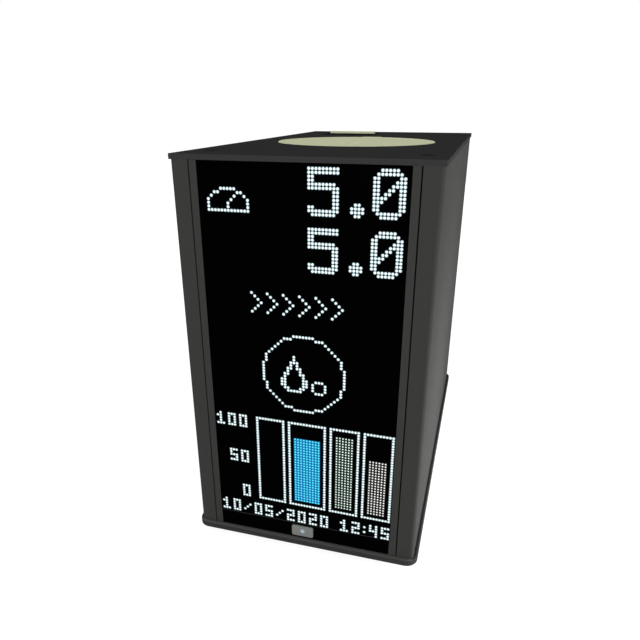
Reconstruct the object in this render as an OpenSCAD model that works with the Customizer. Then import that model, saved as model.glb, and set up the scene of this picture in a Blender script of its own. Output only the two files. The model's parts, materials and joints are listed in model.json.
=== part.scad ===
// Bench-top hydrogen generator: an extruded cabinet with a full-height display, a water tank under
// a round lid, an electrolysis cell stack and its gas line, and a rear panel with fan and ports.
// The front faces -Y, +Z is up, and the origin is at the middle of the footprint, under the feet.

/* [Cabinet] */
// Width of the cabinet across its side profiles
body_w = 150; // [146:1:180]
// Depth of the cabinet from its front face to its rear face
body_d = 296; // [292:1:360]
// Height of the cabinet between the base plate and the top plate
body_h = 245; // [241:1:300]
// Wall of the extruded side profiles
wall_t = 2.5; // [2:0.1:3]
// Radius of the cabinet's upright corners
corner_r = 2.75; // [1:0.25:4]
// Width of a profile's return on the front and on the rear
return_w = 10.8; // [10:0.1:12]
// Width of the seam between a return and the piece beside it
seam_w = 0.8; // [0.4:0.1:1.2]
// Width of the ledge that stands in behind the front and rear pieces
ledge_w = 8; // [6:0.5:9]
// Outer diameter of the screw channels in the side profiles
channel_d = 8; // [7:0.5:9]
// Distance from the cabinet's side to the middle of a screw channel
channel_in_x = 12; // [11:0.5:13]
// Distance from the cabinet's front or rear to the middle of a screw channel
channel_in_y = 27.5; // [26:0.5:30]

/* [Plates and feet] */
// Thickness of the top plate
top_t = 3; // [2.5:0.5:5]
// How far the top plate stands out at the sides and the rear
top_over = 0.9; // [0:0.1:3]
// How far the top plate stands out at the front
top_over_front = 0.1; // [0:0.1:2]
// Thickness of the base plate
base_t = 4.2; // [3.8:0.2:8]
// How far the base plate stands out all round
base_over = 2.5; // [1.5:0.5:5]
// Radius of the base plate's corners in plan
base_corner_r = 8; // [3:0.5:12]
// Radius along the base plate's upper edge
base_edge_r = 1.2; // [0.5:0.1:1.5]
// Height of the feet under the base plate
foot_h = 3.8; // [2.6:0.2:8]
// Diameter of a foot
foot_d = 14; // [12:1:16]
// Distance from the base plate's edge to the middle of a foot
foot_in = 13; // [12:0.5:14]
// Thickness of the rear panel
rear_t = 2; // [1.5:0.1:3]
// Diameter of the screws in the top plate and the base plate
plate_screw_d = 4; // [3:0.5:4]

/* [Display] */
// Width of the strip that shows beside the glass
strip_w = 4.35; // [3.6:0.05:6]
// Depth of the display frame
frame_d = 12; // [11:0.5:16]
// Thickness of the display frame's back
frame_back_t = 2; // [1.5:0.1:2.6]
// Thickness of the display glass and of the lower panel
glass_t = 3; // [2.5:0.1:3.4]
// Height of the lower panel under the glass
lower_h = 12; // [11.6:0.1:16]
// Thickness of a light tile
tile_t = 3.2; // [2.6:0.1:3.4]
// Thickness of the circuit boards
pcb_t = 1.6; // [1.2:0.1:2]

/* [Button] */
// Width of the push button
button_w = 14.8; // [12:0.2:18]
// Height of the push button
button_h = 8.2; // [6:0.2:8.4]
// Height of the button's middle above the base plate
button_z = 5.95; // [5.9:0.05:6.2]
// Corner radius of the push button
button_r = 1.2; // [0.6:0.1:2]
// How far the button stands out of the panel
button_proud = 0.5; // [0.2:0.1:1]
// Travel of the push button
button_travel = 1; // [0.5:0.1:1.2]
// Diameter of the light in the button
light_d = 1.8; // [1:0.1:3]

/* [Water tank] */
// Diameter of the tank's lid
lid_d = 113.5; // [104:0.5:116]
// Distance from the cabinet's front to the middle of the lid
lid_y = 138.6; // [137:0.1:140]
// Thickness of the lid's plate
lid_t = 2.6; // [2:0.1:2.8]
// How far the lid stands out of the top plate
lid_proud = 0.2; // [0.1:0.1:1]
// Width of the lid's finger tab
tab_w = 16; // [12:1:20]
// How far the finger tab stands out of the lid's rim
tab_l = 8; // [5:0.5:9]
// Depth of the tank from front to rear
tank_d = 150; // [146:1:156]
// Height of the tank's body
tank_h = 82; // [70:1:90]
// Wall of the tank
tank_wall = 2.5; // [2:0.1:3.5]
// Height of the tank's neck
neck_h = 6; // [4:0.5:8]

/* [Deioniser] */
// Width of the cartridge's cap
cap_w = 39; // [34:0.5:40]
// Length of the cartridge's cap
cap_l = 43; // [38:0.5:44]
// Distance of the cap's middle to the left of the cabinet's middle
cap_left = 29; // [27:0.5:30]
// Distance from the cabinet's rear to the middle of the cap
cap_from_rear = 42.5; // [41:0.5:44]
// How far the cap's plate stands out round the cartridge's housing
cap_over = 3; // [1.5:0.5:4]
// Width of the grip on the cap
grip_w = 41; // [30:0.5:41]
// How far the grip stands out of the top plate
grip_h = 1.9; // [1:0.1:3]

/* [Cell stack] */
// Gap between the stack and the pieces at its left and right
stack_gap = 4; // [2:0.5:6]
// Thickness of an end plate
end_plate_t = 12; // [8:1:14]
// Number of bipolar plates
cell_count = 7; // [4:1:8]
// Thickness of a bipolar plate
cell_t = 3.6; // [3:0.1:4]
// Thickness of a membrane and its gasket
membrane_t = 0.7; // [0.5:0.1:1]
// Diameter of the tie bolts
tie_d = 6; // [5:0.5:6]

/* [Fan] */
// Width and height of the fan's frame
fan_w = 80; // [76:1:82]
// Depth of the fan
fan_t = 25; // [22:1:28]
// Distance between neighbouring screw holes of the fan
fan_pitch = 71.5; // [70:0.5:72]
// Number of blades
blade_count = 7; // [5:1:9]
// Diameter of the rotor's hub
hub_d = 34; // [30:1:38]
// Diameter of the rotor's shaft
shaft_d = 3; // [2.5:0.5:4]
// Height of the fan's axis above the base plate
fan_z = 94; // [90:1:98]

/* [Rear ports] */
// Distance between neighbouring fittings on the rear panel
port_pitch = 40; // [36:1:42]
// Distance of the fittings below the top plate
port_down = 69; // [66:1:72]
// How far the hydrogen outlet stands out of the rear panel
outlet_reach = 26; // [22:1:36]
// Diameter of the tube that the hydrogen outlet takes
outlet_tube_d = 3.2; // [3:0.1:4]
// How far the vent barb stands out of the rear panel
vent_reach = 22; // [18:1:26]
// How far the drain port stands out of the rear panel
drain_reach = 18; // [14:1:22]
// Height of the inlet, switch and sockets above the base plate
socket_z = 24; // [22:1:26]
// Swing of the power rocker to each side
rocker_tilt = 12; // [8:1:14]

/* [Fits] */
// Clearance between fixed pieces that fit into each other
fit = 0.3; // [0.2:0.05:0.4]
// Radial clearance of a shaft or pin in its bearing
run_fit = 0.05; // [0.03:0.01:0.08]
// Clearance between flat faces of pieces that lie together
face_fit = 0.1; // [0.05:0.05:0.2]

/* [Hidden] */
$fn = 48;
z_base = foot_h;
z0 = foot_h + base_t;
z_top = z0 + body_h;
z_lid = z_top + top_t + lid_proud;
rear_reach = max(outlet_reach, vent_reach, drain_reach);
y0 = (base_over - body_d - rear_reach) / 2;
yr = y0 + body_d;
half_w = body_w / 2;
inner_x = half_w - wall_t;
seam_x = half_w - return_w;
insert_w = 2 * (seam_x - seam_w);
glass_w = insert_w - 2 * strip_w;
glass_z = z0 + lower_h + face_fit;
ledge_x = seam_x - ledge_w;
rear_in = yr - rear_t - wall_t;
channel_x = half_w - channel_in_x;
channel_ys = [y0 + channel_in_y, yr - channel_in_y];
screw_r = plate_screw_d / 2;
lid_r = lid_d / 2;
lid_cy = y0 + lid_y;
neck_r = lid_r - 3;
tank_w = 2 * inner_x - 5;
tank_top = z_top - neck_h;
tank_z = tank_top - tank_h;
tank_y = lid_cy - tank_d / 2;
shelf_t = 1.5;
shelf_z = tank_z - shelf_t;
shelf_y0 = tank_y - 6;
shelf_y1 = yr - channel_in_y - channel_d / 2 - 2;
cap_x = -cap_left;
cap_y = yr - cap_from_rear;
port_z = z_top - port_down;
sock_z = z0 + socket_z;
fan_cz = z0 + fan_z;
fan_y = yr - rear_t - fan_t;
duct_r = fan_w / 2 - 2;
psu_w = 30;
psu_d = 129;
psu_h = 97;
psu_x = fit - inner_x;
psu_y = y0 + 60;
separator_r = 17;
separator_h = 96;
dryer_r = 15;
dryer_h = 112;
column_gap = 56;
column_x = inner_x - separator_r - 2.5;
stack_w = column_x - separator_r - psu_x - psu_w - 2 * stack_gap;
stack_x = psu_x + psu_w + stack_gap + stack_w / 2;
stack_z = z0 + 9 + stack_w / 2;
stack_y = y0 + 62;
cells_l = cell_count * cell_t + (cell_count + 1) * membrane_t;
stack_l = cells_l + 2 * end_plate_t;
separator_y = stack_y + 12;
dryer_y = separator_y + separator_r + column_gap + dryer_r;
pump_y = stack_y + stack_l + 46;
board_y = y0 + frame_d + 8;
usb_w = 12;
jack_w = 16;
switch_w = 15;
inlet_w = 48;
socket_gap = 2.5;
port_board_margin = 7;
usb_x = ledge_x - port_board_margin - fit;
jack_x = usb_x - usb_w / 2 - socket_gap - jack_w / 2;
switch_x = jack_x - jack_w / 2 - socket_gap - switch_w / 2;
inlet_x = switch_x - switch_w / 2 - socket_gap - inlet_w / 2;
rocker_y = yr + 0.6;

// A box given by two opposite corners
module box(lo, hi) {
    translate(lo)
        cube(hi - lo);
}

// A round bar that starts at p and runs along +Y
module bar_y(p, len, r, r2 = undef) {
    translate(p)
        rotate([-90, 0, 0])
            cylinder(h = len, r1 = r, r2 = is_undef(r2) ? r : r2);
}

// A round bar that starts at p and runs along +X
module bar_x(p, len, r) {
    translate(p)
        rotate([0, 90, 0])
            cylinder(h = len, r = r);
}

// Its axis Z laid along +Y at p
module facing_rear(p) {
    translate(p)
        rotate([-90, 0, 0])
            children();
}

// Plan outline with rounded corners, centred
module round_rect(w, d, r) {
    square([w - 2 * r, d], center = true);
    square([w, d - 2 * r], center = true);
    for (sx = [-1, 1], sy = [-1, 1])
        translate([sx * (w / 2 - r), sy * (d / 2 - r)])
            circle(r = r);
}

// A slot with round ends, centred, lying along X in plan
module slot(len, w) {
    square([len - w, w], center = true);
    for (s = [-1, 1])
        translate([s * (len - w) / 2, 0])
            circle(d = w);
}

// Section of a plate's border: its outer upper corner is rounded
module border_section(w, t, e) {
    square([w, t - e]);
    square([w - e, t]);
    translate([w - e, t - e])
        circle(r = e);
}

// A plate whose upper edge is rounded, centred in plan and standing on z = 0
module eased_plate(w, d, t, r, e) {
    translate([r - w / 2, r - d / 2, 0])
        cube([w - 2 * r, d - 2 * r, t]);
    for (s = [-1, 1]) {
        translate([0, s * (d / 2 - r), 0])
            rotate([90, 0, s * 90])
                linear_extrude(w - 2 * r, center = true)
                    border_section(r, t, e);
        translate([s * (w / 2 - r), 0, 0])
            rotate([90, 0, 90 - s * 90])
                linear_extrude(d - 2 * r, center = true)
                    border_section(r, t, e);
    }
    for (corner = [[1, 1, 0], [-1, 1, 90], [-1, -1, 180], [1, -1, 270]])
        translate([corner[0] * (w / 2 - r), corner[1] * (d / 2 - r), 0])
            rotate(corner[2])
                rotate_extrude(angle = 90)
                    border_section(r, t, e);
}

// A countersunk hex-socket screw, head face at z = 0 and shank down along -Z
module countersunk_screw(d, len) {
    difference() {
        union() {
            translate([0, 0, -len])
                cylinder(h = len, r = d / 2 - face_fit);
            translate([0, 0, -d / 2])
                cylinder(h = d / 2, r1 = d / 2 - face_fit, r2 = d - face_fit);
        }
        translate([0, 0, -d * 0.4])
            cylinder(h = d, d = d * 0.72, $fn = 6);
    }
}

// The hole for a countersunk screw, its mouth at z = 0
module countersunk_hole(d, depth) {
    translate([0, 0, -depth - 1])
        cylinder(h = depth + 2, r = d / 2 + fit / 2);
    translate([0, 0, -d / 2 - fit])
        cylinder(h = d / 2 + fit, r1 = d / 2, r2 = d + fit);
    cylinder(h = 1, r = d + fit);
}

// A pan-head screw with a cross recess, head seat at z = 0 and shank down along -Z
module pan_screw(d, len) {
    difference() {
        union() {
            translate([0, 0, -len])
                cylinder(h = len, r = d / 2 - face_fit);
            cylinder(h = d * 0.3, r = d * 0.95);
            translate([0, 0, d * 0.3])
                cylinder(h = d * 0.35, r1 = d * 0.95, r2 = d * 0.6);
        }
        for (a = [0, 90])
            rotate(a)
                translate([-d * 0.55, -d * 0.12, d * 0.25])
                    cube([d * 1.1, d * 0.24, d]);
    }
}

// A hexagon nut or body, across its flats, standing on z = 0
module hexagon(flats, h) {
    cylinder(h = h, d = flats / cos(30), $fn = 6);
}

// One straight length of tube from a to b
module tube_run(a, b, r) {
    v = b - a;
    len = norm(v);
    tilt = acos(v[2] / len);
    turn = atan2(v[1], v[0]);
    translate(a)
        rotate([0, tilt, turn])
            cylinder(h = len, r = r);
}

// One quarter bend at a corner, from direction d1 into direction d2
module tube_bend(corner, d1, d2, bend_r, r) {
    n = cross(-d2, d1);
    c = corner - d1 * bend_r + d2 * bend_r;
    multmatrix([
        [-d2[0], d1[0], n[0], c[0]],
        [-d2[1], d1[1], n[1], c[1]],
        [-d2[2], d1[2], n[2], c[2]],
        [0, 0, 0, 1]])
        rotate_extrude(angle = 90)
            translate([bend_r, 0])
                circle(r = r);
}

// A tube through points that turn at right angles, with quarter bends of bend_r
module tube_solid(pts, bend_r, r) {
    last = len(pts) - 1;
    dirs = [for (i = [0:last - 1]) (pts[i + 1] - pts[i]) / norm(pts[i + 1] - pts[i])];
    for (i = [0:last - 1])
        tube_run(pts[i] + (i == 0 ? 0 : bend_r) * dirs[i],
            pts[i + 1] - (i == last - 1 ? 0 : bend_r) * dirs[i], r);
    for (i = [1:last - 1])
        tube_bend(pts[i], dirs[i - 1], dirs[i], bend_r, r);
}

// The cabinet's outline in plan
module cabinet_plan() {
    translate([0, (y0 + yr) / 2])
        round_rect(body_w, body_d, corner_r);
}

// Plan of the right side profile: wall, returns, webs, ledges and screw channels
module side_profile() {
    web_x = seam_x + wall_t;
    intersection() {
        cabinet_plan();
        union() {
            translate([inner_x, y0])
                square([wall_t, body_d]);
            translate([seam_x, y0])
                square([return_w, wall_t]);
            translate([seam_x, yr - wall_t])
                square([return_w, wall_t]);
            translate([seam_x, y0])
                square([wall_t, frame_d + face_fit + wall_t]);
            translate([ledge_x, y0 + frame_d + face_fit])
                square([web_x - ledge_x, wall_t]);
            translate([seam_x, rear_in])
                square([wall_t, yr - rear_in]);
            translate([ledge_x, rear_in])
                square([web_x - ledge_x, wall_t]);
        }
    }
    for (y = channel_ys) {
        difference() {
            union() {
                translate([channel_x, y])
                    circle(d = channel_d);
                translate([channel_x, y - wall_t / 2])
                    square([inner_x + wall_t / 2 - channel_x, wall_t]);
            }
            translate([channel_x, y])
                circle(r = screw_r);
        }
    }
}

// Heights of the screws that hold the rear panel, above the base plate
rear_screw_zs = [9, body_h / 2, body_h - 9];
rear_screw_x = ledge_x + 4;
frame_screw_zs = [20, body_h - 20];
frame_screw_x = seam_x - seam_w - strip_w / 2;

module side_panel() {
    difference() {
        translate([0, 0, z0])
            linear_extrude(body_h)
                side_profile();
        for (z = rear_screw_zs)
            bar_y([rear_screw_x, rear_in - 1, z0 + z], wall_t + 2, 1.5);
        for (z = frame_screw_zs)
            bar_y([frame_screw_x, y0 + frame_d - 1, z0 + z], wall_t + 2, 1.25 + face_fit);
    }
}

module side_panel_right() {
    color("dimgray")
        side_panel();
}

module side_panel_left() {
    color("dimgray")
        mirror([1, 0, 0])
            side_panel();
}

// Plan places of the feet
foot_x = half_w + base_over - foot_in;
foot_ys = [y0 - base_over + foot_in, yr + base_over - foot_in];
stem_r = 2.5;

module base_plate() {
    color([0.17, 0.17, 0.17])
        difference() {
            translate([0, (y0 + yr) / 2, z_base])
                eased_plate(body_w + 2 * base_over, body_d + 2 * base_over, base_t,
                    base_corner_r, base_edge_r);
            for (s = [-1, 1], y = channel_ys)
                translate([s * channel_x, y, z_base])
                    mirror([0, 0, 1])
                        countersunk_hole(plate_screw_d, base_t);
            for (s = [-1, 1], y = foot_ys)
                translate([s * foot_x, y, z_base - 1])
                    cylinder(h = base_t + 2, r = stem_r + fit / 2);
            for (s = [-1, 1], i = [0:6])
                translate([s * 30, y0 + 56 + i * 9, z_base - 1])
                    linear_extrude(base_t + 2)
                        slot(30, 4);
        }
}

module rubber_feet() {
    color([0.06, 0.06, 0.06])
        for (s = [-1, 1], y = foot_ys)
            translate([s * foot_x, y, 0]) {
                cylinder(h = 1, r1 = foot_d / 2 - 1, r2 = foot_d / 2 - 0.4);
                translate([0, 0, 1])
                    cylinder(h = foot_h - 1, r1 = foot_d / 2 - 0.4, r2 = foot_d / 2);
                translate([0, 0, foot_h])
                    cylinder(h = base_t - 0.4, r = stem_r);
            }
}

module base_screws() {
    color([0.1, 0.1, 0.1])
        for (s = [-1, 1], y = channel_ys)
            translate([s * channel_x, y, z_base])
                mirror([0, 0, 1])
                    countersunk_screw(plate_screw_d, base_t + 14);
}

// Width of the lid's opening in the top plate
lid_open_r = lid_r + 0.5;
cap_gap = 0.4;

// The cap's outline in the top plate, grown by a gap
module cap_outline(gap) {
    round_rect(cap_w + 2 * (cap_over + gap), cap_l + 2 * (cap_over + gap), 2 + gap);
}

module top_plate() {
    color([0.16, 0.16, 0.16])
        difference() {
            translate([0, (y0 - top_over_front + yr + top_over) / 2, z_top])
                linear_extrude(top_t)
                    round_rect(body_w + 2 * top_over, body_d + top_over + top_over_front, 1);
            for (s = [-1, 1], y = channel_ys)
                translate([s * channel_x, y, z_top + top_t])
                    countersunk_hole(plate_screw_d, top_t);
            translate([0, lid_cy, z_top - 1])
                cylinder(h = top_t + 2, r = lid_open_r, $fn = 96);
            box([-tab_w / 2 - 0.5, lid_cy, z_top - 1],
                [tab_w / 2 + 0.5, lid_cy + lid_r + tab_l + 0.5, z_top + top_t + 1]);
            translate([cap_x, cap_y, z_top - 1])
                linear_extrude(top_t + 2)
                    cap_outline(cap_gap);
        }
}

module top_screws() {
    color([0.12, 0.12, 0.12])
        for (s = [-1, 1], y = channel_ys)
            translate([s * channel_x, y, z_top + top_t])
                countersunk_screw(plate_screw_d, top_t + 14);
}

// Cable slots in the display frame's back
cable_slot_l = 26;
cable_slot_w = 10;

module front_frame() {
    color([0.25, 0.25, 0.24])
        difference() {
            box([-insert_w / 2, y0, z0 + face_fit], [insert_w / 2, y0 + frame_d, z_top - face_fit]);
            box([-glass_w / 2 - face_fit, y0 - 1, z0 - 1],
                [glass_w / 2 + face_fit, y0 + frame_d - frame_back_t, z_top + 1]);
            for (x = [-26, 26], z = [26, body_h / 2, body_h - 26])
                facing_rear([x, y0 + frame_d / 2, z0 + z])
                    linear_extrude(frame_d)
                        slot(cable_slot_l, cable_slot_w);
            for (s = [-1, 1], z = frame_screw_zs)
                bar_y([s * frame_screw_x, y0 + frame_d - 8, z0 + z], 10, 1.25);
            for (p = standoff_places)
                bar_y([p[0], y0, p[1]], frame_d + 1, 1.5);
        }
}

module frame_screws() {
    color("silver")
        for (s = [-1, 1], z = frame_screw_zs)
            facing_rear([s * frame_screw_x, y0 + frame_d + face_fit + wall_t, z0 + z])
                pan_screw(2.5, wall_t + 7);
}

// A plate with eased front edges, seen from the front, between two heights
module front_plate(w, z_lo, z_hi) {
    ease = 0.3;
    translate([0, y0, z_lo])
        linear_extrude(z_hi - z_lo)
            polygon([[-w / 2 + ease, 0], [w / 2 - ease, 0], [w / 2, ease], [w / 2, glass_t],
                [-w / 2, glass_t], [-w / 2, ease]]);
}

module display_glass() {
    color([0.02, 0.02, 0.02])
        front_plate(glass_w, glass_z, z_top - face_fit);
}

// The button's outline in the panel, grown by a gap
module button_outline(gap) {
    round_rect(button_w + 2 * gap, button_h + 2 * gap, button_r + gap);
}

button_cz = z0 + button_z;

module lower_panel() {
    color([0.03, 0.03, 0.03])
        difference() {
            front_plate(glass_w, z0 + face_fit, z0 + lower_h);
            facing_rear([0, y0 - 1, button_cz])
                linear_extrude(glass_t + 2)
                    button_outline(fit);
        }
}

flange_y = y0 + glass_t + 0.15;
flange_t = 1.2;

module push_button() {
    color([0.6, 0.6, 0.6])
        difference() {
            union() {
                facing_rear([0, y0 - button_proud, button_cz])
                    linear_extrude(flange_y - y0 + button_proud + flange_t / 2)
                        button_outline(0);
                box([-button_w / 2 - 1.6, flange_y, z0 + 0.5],
                    [button_w / 2 + 1.6, flange_y + flange_t, z0 + lower_h - 1]);
            }
            bar_y([0, y0 - button_proud - 1, button_cz], 9, light_d / 2);
        }
}

module button_light() {
    color([0.6, 0.85, 1])
        bar_y([0, y0 - button_proud, button_cz], flange_y + flange_t - y0 + button_proud,
            light_d / 2 - face_fit / 2);
}

// The switch behind the button, on the lower end of the display board
switch_y = flange_y + flange_t + button_travel + 0.15;

module button_switch() {
    color([0.15, 0.15, 0.15]) {
        box([-3, switch_y + 0.6, button_cz - 3], [3, y0 + frame_d - frame_back_t, button_cz + 3]);
        bar_y([0, switch_y, button_cz], 1, 1.75);
    }
}

tile_y = y0 + glass_t + face_fit;
tile_cols = 2;
tile_rows = 4;
tile_w = (glass_w - 1) / tile_cols;
tile_h = (z_top - glass_z - 1) / tile_rows;

module light_tiles() {
    color([0.08, 0.08, 0.08])
        for (i = [0:tile_cols - 1], j = [0:tile_rows - 1])
            box([i * tile_w - (glass_w - 1) / 2 + 0.1, tile_y, glass_z + 0.5 + j * tile_h + 0.1],
                [(i + 1) * tile_w - (glass_w - 1) / 2 - 0.1, tile_y + tile_t,
                    glass_z + 0.5 + (j + 1) * tile_h - 0.1]);
}

module display_board() {
    y = tile_y + tile_t + face_fit;
    color([0.05, 0.3, 0.15]) {
        box([-glass_w / 2 + 0.4, y, glass_z + 0.4], [glass_w / 2 - 0.4, y + pcb_t, z_top - 0.6]);
        for (i = [-1, 1], j = [0:tile_rows - 1])
            box([i * 25 - 6, y + pcb_t, glass_z + 22 + j * tile_h],
                [i * 25 + 6, y + pcb_t + 1, glass_z + 30 + j * tile_h]);
    }
}

// The control board's standoffs, as places in X and Z
board_w = 2 * (ledge_x - 2.2);
board_z0 = z0 + 14;
board_h = 126;
standoff_places = [for (s = [-1, 1], z = [board_z0 + 5, board_z0 + board_h - 5])
    [s * (board_w / 2 - 5), z]];

module board_standoffs() {
    color("goldenrod")
        for (p = standoff_places)
            facing_rear([p[0], y0 + frame_d, p[1]])
                difference() {
                    hexagon(5.5, board_y - y0 - frame_d);
                    translate([0, 0, -1])
                        cylinder(h = 20, r = 1.5);
                }
}

module board_screws() {
    color("silver")
        for (p = standoff_places)
            facing_rear([p[0], board_y + pcb_t, p[1]])
                pan_screw(3, pcb_t + 6);
}

// Circuit board that runs the generator, with the larger parts soldered to it
module control_board() {
    face = board_y + pcb_t;
    difference() {
        union() {
            color([0.05, 0.35, 0.18])
                box([-board_w / 2, board_y, board_z0],
                    [board_w / 2, face, board_z0 + board_h]);
            color([0.1, 0.1, 0.1]) {
                box([-12, face, board_z0 + 60], [12, face + 2, board_z0 + 84]);
                box([22, face, board_z0 + 66], [36, face + 3, board_z0 + 76]);
                for (i = [0:2])
                    bar_y([-34 + i * 13, face, board_z0 + 30], 16, 5);
            }
            color([0.2, 0.45, 0.25])
                for (i = [0:3])
                    box([-44 + i * 22, face, board_z0 + 104], [-28 + i * 22, face + 9, board_z0 + 112]);
            color("silver")
                for (i = [0:6])
                    box([14, face, board_z0 + 20 + i * 4], [40, face + 14, board_z0 + 21.5 + i * 4]);
            color("silver")
                box([14, face, board_z0 + 20], [40, face + 2, board_z0 + 45.5]);
        }
        for (p = standoff_places)
            bar_y([p[0], board_y - 1, p[1]], pcb_t + 2, 1.6);
    }
}

// Radius of the fittings in the rear panel, and how far each reaches into the cabinet
port_r = 5;
outlet_inner = 14;
vent_inner = 12;
drain_inner = 9;
guard_pitch = fan_pitch / 2;

module rear_panel() {
    color([0.2, 0.2, 0.2])
        difference() {
            box([-insert_w / 2, yr - rear_t, z0 + face_fit], [insert_w / 2, yr, z_top - face_fit]);
            bar_y([0, yr - rear_t - 1, fan_cz], rear_t + 2, duct_r);
            for (sx = [-1, 1], sz = [-1, 1])
                bar_y([sx * guard_pitch, yr - rear_t - 1, fan_cz + sz * guard_pitch], rear_t + 2, 2.2);
            for (i = [-1:1])
                bar_y([i * port_pitch, yr - rear_t - 1, port_z], rear_t + 2, port_r + fit / 2);
            for (s = [-1, 1], z = rear_screw_zs)
                bar_y([s * rear_screw_x, yr - rear_t - 1, z0 + z], rear_t + 2, 1.6);
            for (s = [-1, 1])
                bar_y([inlet_x + s * 20, yr - rear_t - 1, sock_z], rear_t + 2, 1.6);
            facing_rear([inlet_x, yr - rear_t - 1, sock_z])
                linear_extrude(rear_t + 2)
                    round_rect(27 + 2 * fit, 19.6 + 2 * fit, 1.5);
            box([switch_x - switch_w / 2 + 1 - fit, yr - rear_t - 1, sock_z - 9.6 - fit],
                [switch_x + switch_w / 2 - 1 + fit, yr + 1, sock_z + 9.6 + fit]);
            box([jack_x - jack_w / 2 - fit, yr - rear_t - 1, sock_z - 6.7 - fit],
                [jack_x + jack_w / 2 + fit, yr + 1, sock_z + 6.7 + fit]);
            box([usb_x - usb_w / 2 - fit, yr - rear_t - 1, sock_z - 6.7 - fit],
                [usb_x + usb_w / 2 + fit, yr + 1, sock_z - 6.7 + 11 + fit]);
            for (i = [-8:8])
                facing_rear([i * 6, yr - rear_t - 1, z_top - 24])
                    linear_extrude(rear_t + 2)
                        rotate(90)
                            slot(26, 3);
        }
}

module rear_screws() {
    color("silver")
        for (s = [-1, 1], z = rear_screw_zs)
            facing_rear([s * rear_screw_x, yr, z0 + z])
                pan_screw(3, rear_t + wall_t + 3);
}

// Fan: one moulded frame with two flanges, a round duct, struts and the motor's base
strut_t = 3.5;
motor_r = hub_d / 2;
bearing_r = shaft_d / 2 + 2.5;

module fan_frame() {
    color([0.09, 0.09, 0.09])
        facing_rear([0, fan_y, fan_cz])
            difference() {
                union() {
                    difference() {
                        union() {
                            for (z = [0, fan_t - 4])
                                translate([0, 0, z])
                                    linear_extrude(4)
                                        round_rect(fan_w, fan_w, 4);
                            cylinder(h = fan_t, r = fan_w / 2);
                        }
                        translate([0, 0, -1])
                            cylinder(h = fan_t + 2, r = duct_r, $fn = 96);
                    }
                    translate([0, 0, fan_t - strut_t]) {
                        cylinder(h = strut_t, r = motor_r);
                        for (a = [20:90:290])
                            rotate(a)
                                translate([motor_r - 1, -1.6, 0])
                                    cube([duct_r - motor_r + 2, 3.2, strut_t]);
                    }
                    translate([0, 0, 5.5])
                        cylinder(h = fan_t - 6, r = bearing_r);
                    translate([0, 0, 8])
                        cylinder(h = fan_t - 9, r = motor_r - 4);
                }
                translate([0, 0, 4])
                    cylinder(h = fan_t - 6, r = shaft_d / 2 + run_fit);
                for (sx = [-1, 1], sy = [-1, 1])
                    translate([sx * guard_pitch, sy * guard_pitch, -1])
                        cylinder(h = fan_t + 2, r = 2.15);
            }
}

// Outline of one blade seen along the axis: a curved strip from hub to tip
function blade_edge(side) = [for (i = [0:5])
    let (r = motor_r - 0.8 + i * (duct_r - 1 - motor_r + 0.8) / 5, a = 5 * i * i / 5 + side * 40 / r)
    [r * cos(a), r * sin(a)]];

module fan_rotor() {
    hub_h = fan_t - strut_t - 3;
    color([0.07, 0.07, 0.07])
        facing_rear([0, fan_y, fan_cz]) {
            translate([0, 0, 1.5])
                difference() {
                    cylinder(h = hub_h, r = motor_r);
                    translate([0, 0, 2])
                        cylinder(h = hub_h, r = motor_r - 1.6);
                }
            translate([0, 0, 2])
                cylinder(h = fan_t - 5.5, r = shaft_d / 2);
            for (k = [0:blade_count - 1])
                rotate(k * 360 / blade_count)
                    translate([0, 0, 2.5])
                        linear_extrude(height = hub_h - 2, twist = 34, slices = 6, $fn = 12)
                            polygon(concat(blade_edge(-1), [for (i = [5:-1:0]) blade_edge(1)[i]]));
        }
}

// Wire finger guard on the outside of the rear panel
wire_r = 0.8;
guard_y = yr + wire_r + face_fit;

module fan_guard() {
    weld = 0.3;
    ring_y = guard_y + 2 * wire_r - weld;
    color("silver") {
        for (r = [10, 17, 24, 31, 38])
            facing_rear([0, ring_y, fan_cz])
                rotate_extrude()
                    translate([r, 0])
                        circle(r = wire_r, $fn = 24);
        for (a = [45:90:315])
            facing_rear([0, guard_y, fan_cz])
                rotate(a) {
                    translate([8, 0, 0])
                        rotate([0, 90, 0])
                            cylinder(h = guard_pitch * sqrt(2) - 11, r = wire_r, $fn = 24);
                    translate([guard_pitch * sqrt(2), 0, 0])
                        rotate_extrude()
                            translate([3.2, 0])
                                circle(r = wire_r, $fn = 24);
                }
    }
}

module fan_screws() {
    seat = guard_y + wire_r;
    color("silver")
        for (sx = [-1, 1], sz = [-1, 1])
            facing_rear([sx * guard_pitch, seat, fan_cz + sz * guard_pitch])
                pan_screw(4.2, seat - fan_y - 6);
}

// Outline of the inlet's cavity, two of its corners cut off, as seen from the rear
module inlet_cavity() {
    polygon([[-12, -8], [12, -8], [12, 4], [8, 8], [-8, 8], [-12, 4]]);
}

module mains_inlet() {
    flange_t = 2.2;
    color([0.08, 0.08, 0.08])
        difference() {
            union() {
                facing_rear([inlet_x, yr, sock_z])
                    linear_extrude(flange_t)
                        round_rect(inlet_w, 24, 3);
                facing_rear([inlet_x, yr - 20, sock_z])
                    linear_extrude(21)
                        round_rect(27, 19.6, 1.2);
            }
            facing_rear([inlet_x, yr - 16 + flange_t, sock_z])
                linear_extrude(20)
                    rotate(180)
                        inlet_cavity();
            for (s = [-1, 1])
                facing_rear([inlet_x + s * 20, yr + flange_t, sock_z])
                    countersunk_hole(3, 3);
            for (p = inlet_pin_places)
                box([p[0] - 1 - 0.05, yr - 21, p[1] - 2 - 0.05], [p[0] + 1.05, yr - 10, p[1] + 2.05]);
        }
}

inlet_pin_in = 27;
inlet_pin_places = [[inlet_x - 7, sock_z - 2], [inlet_x, sock_z + 2], [inlet_x + 7, sock_z - 2]];

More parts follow.
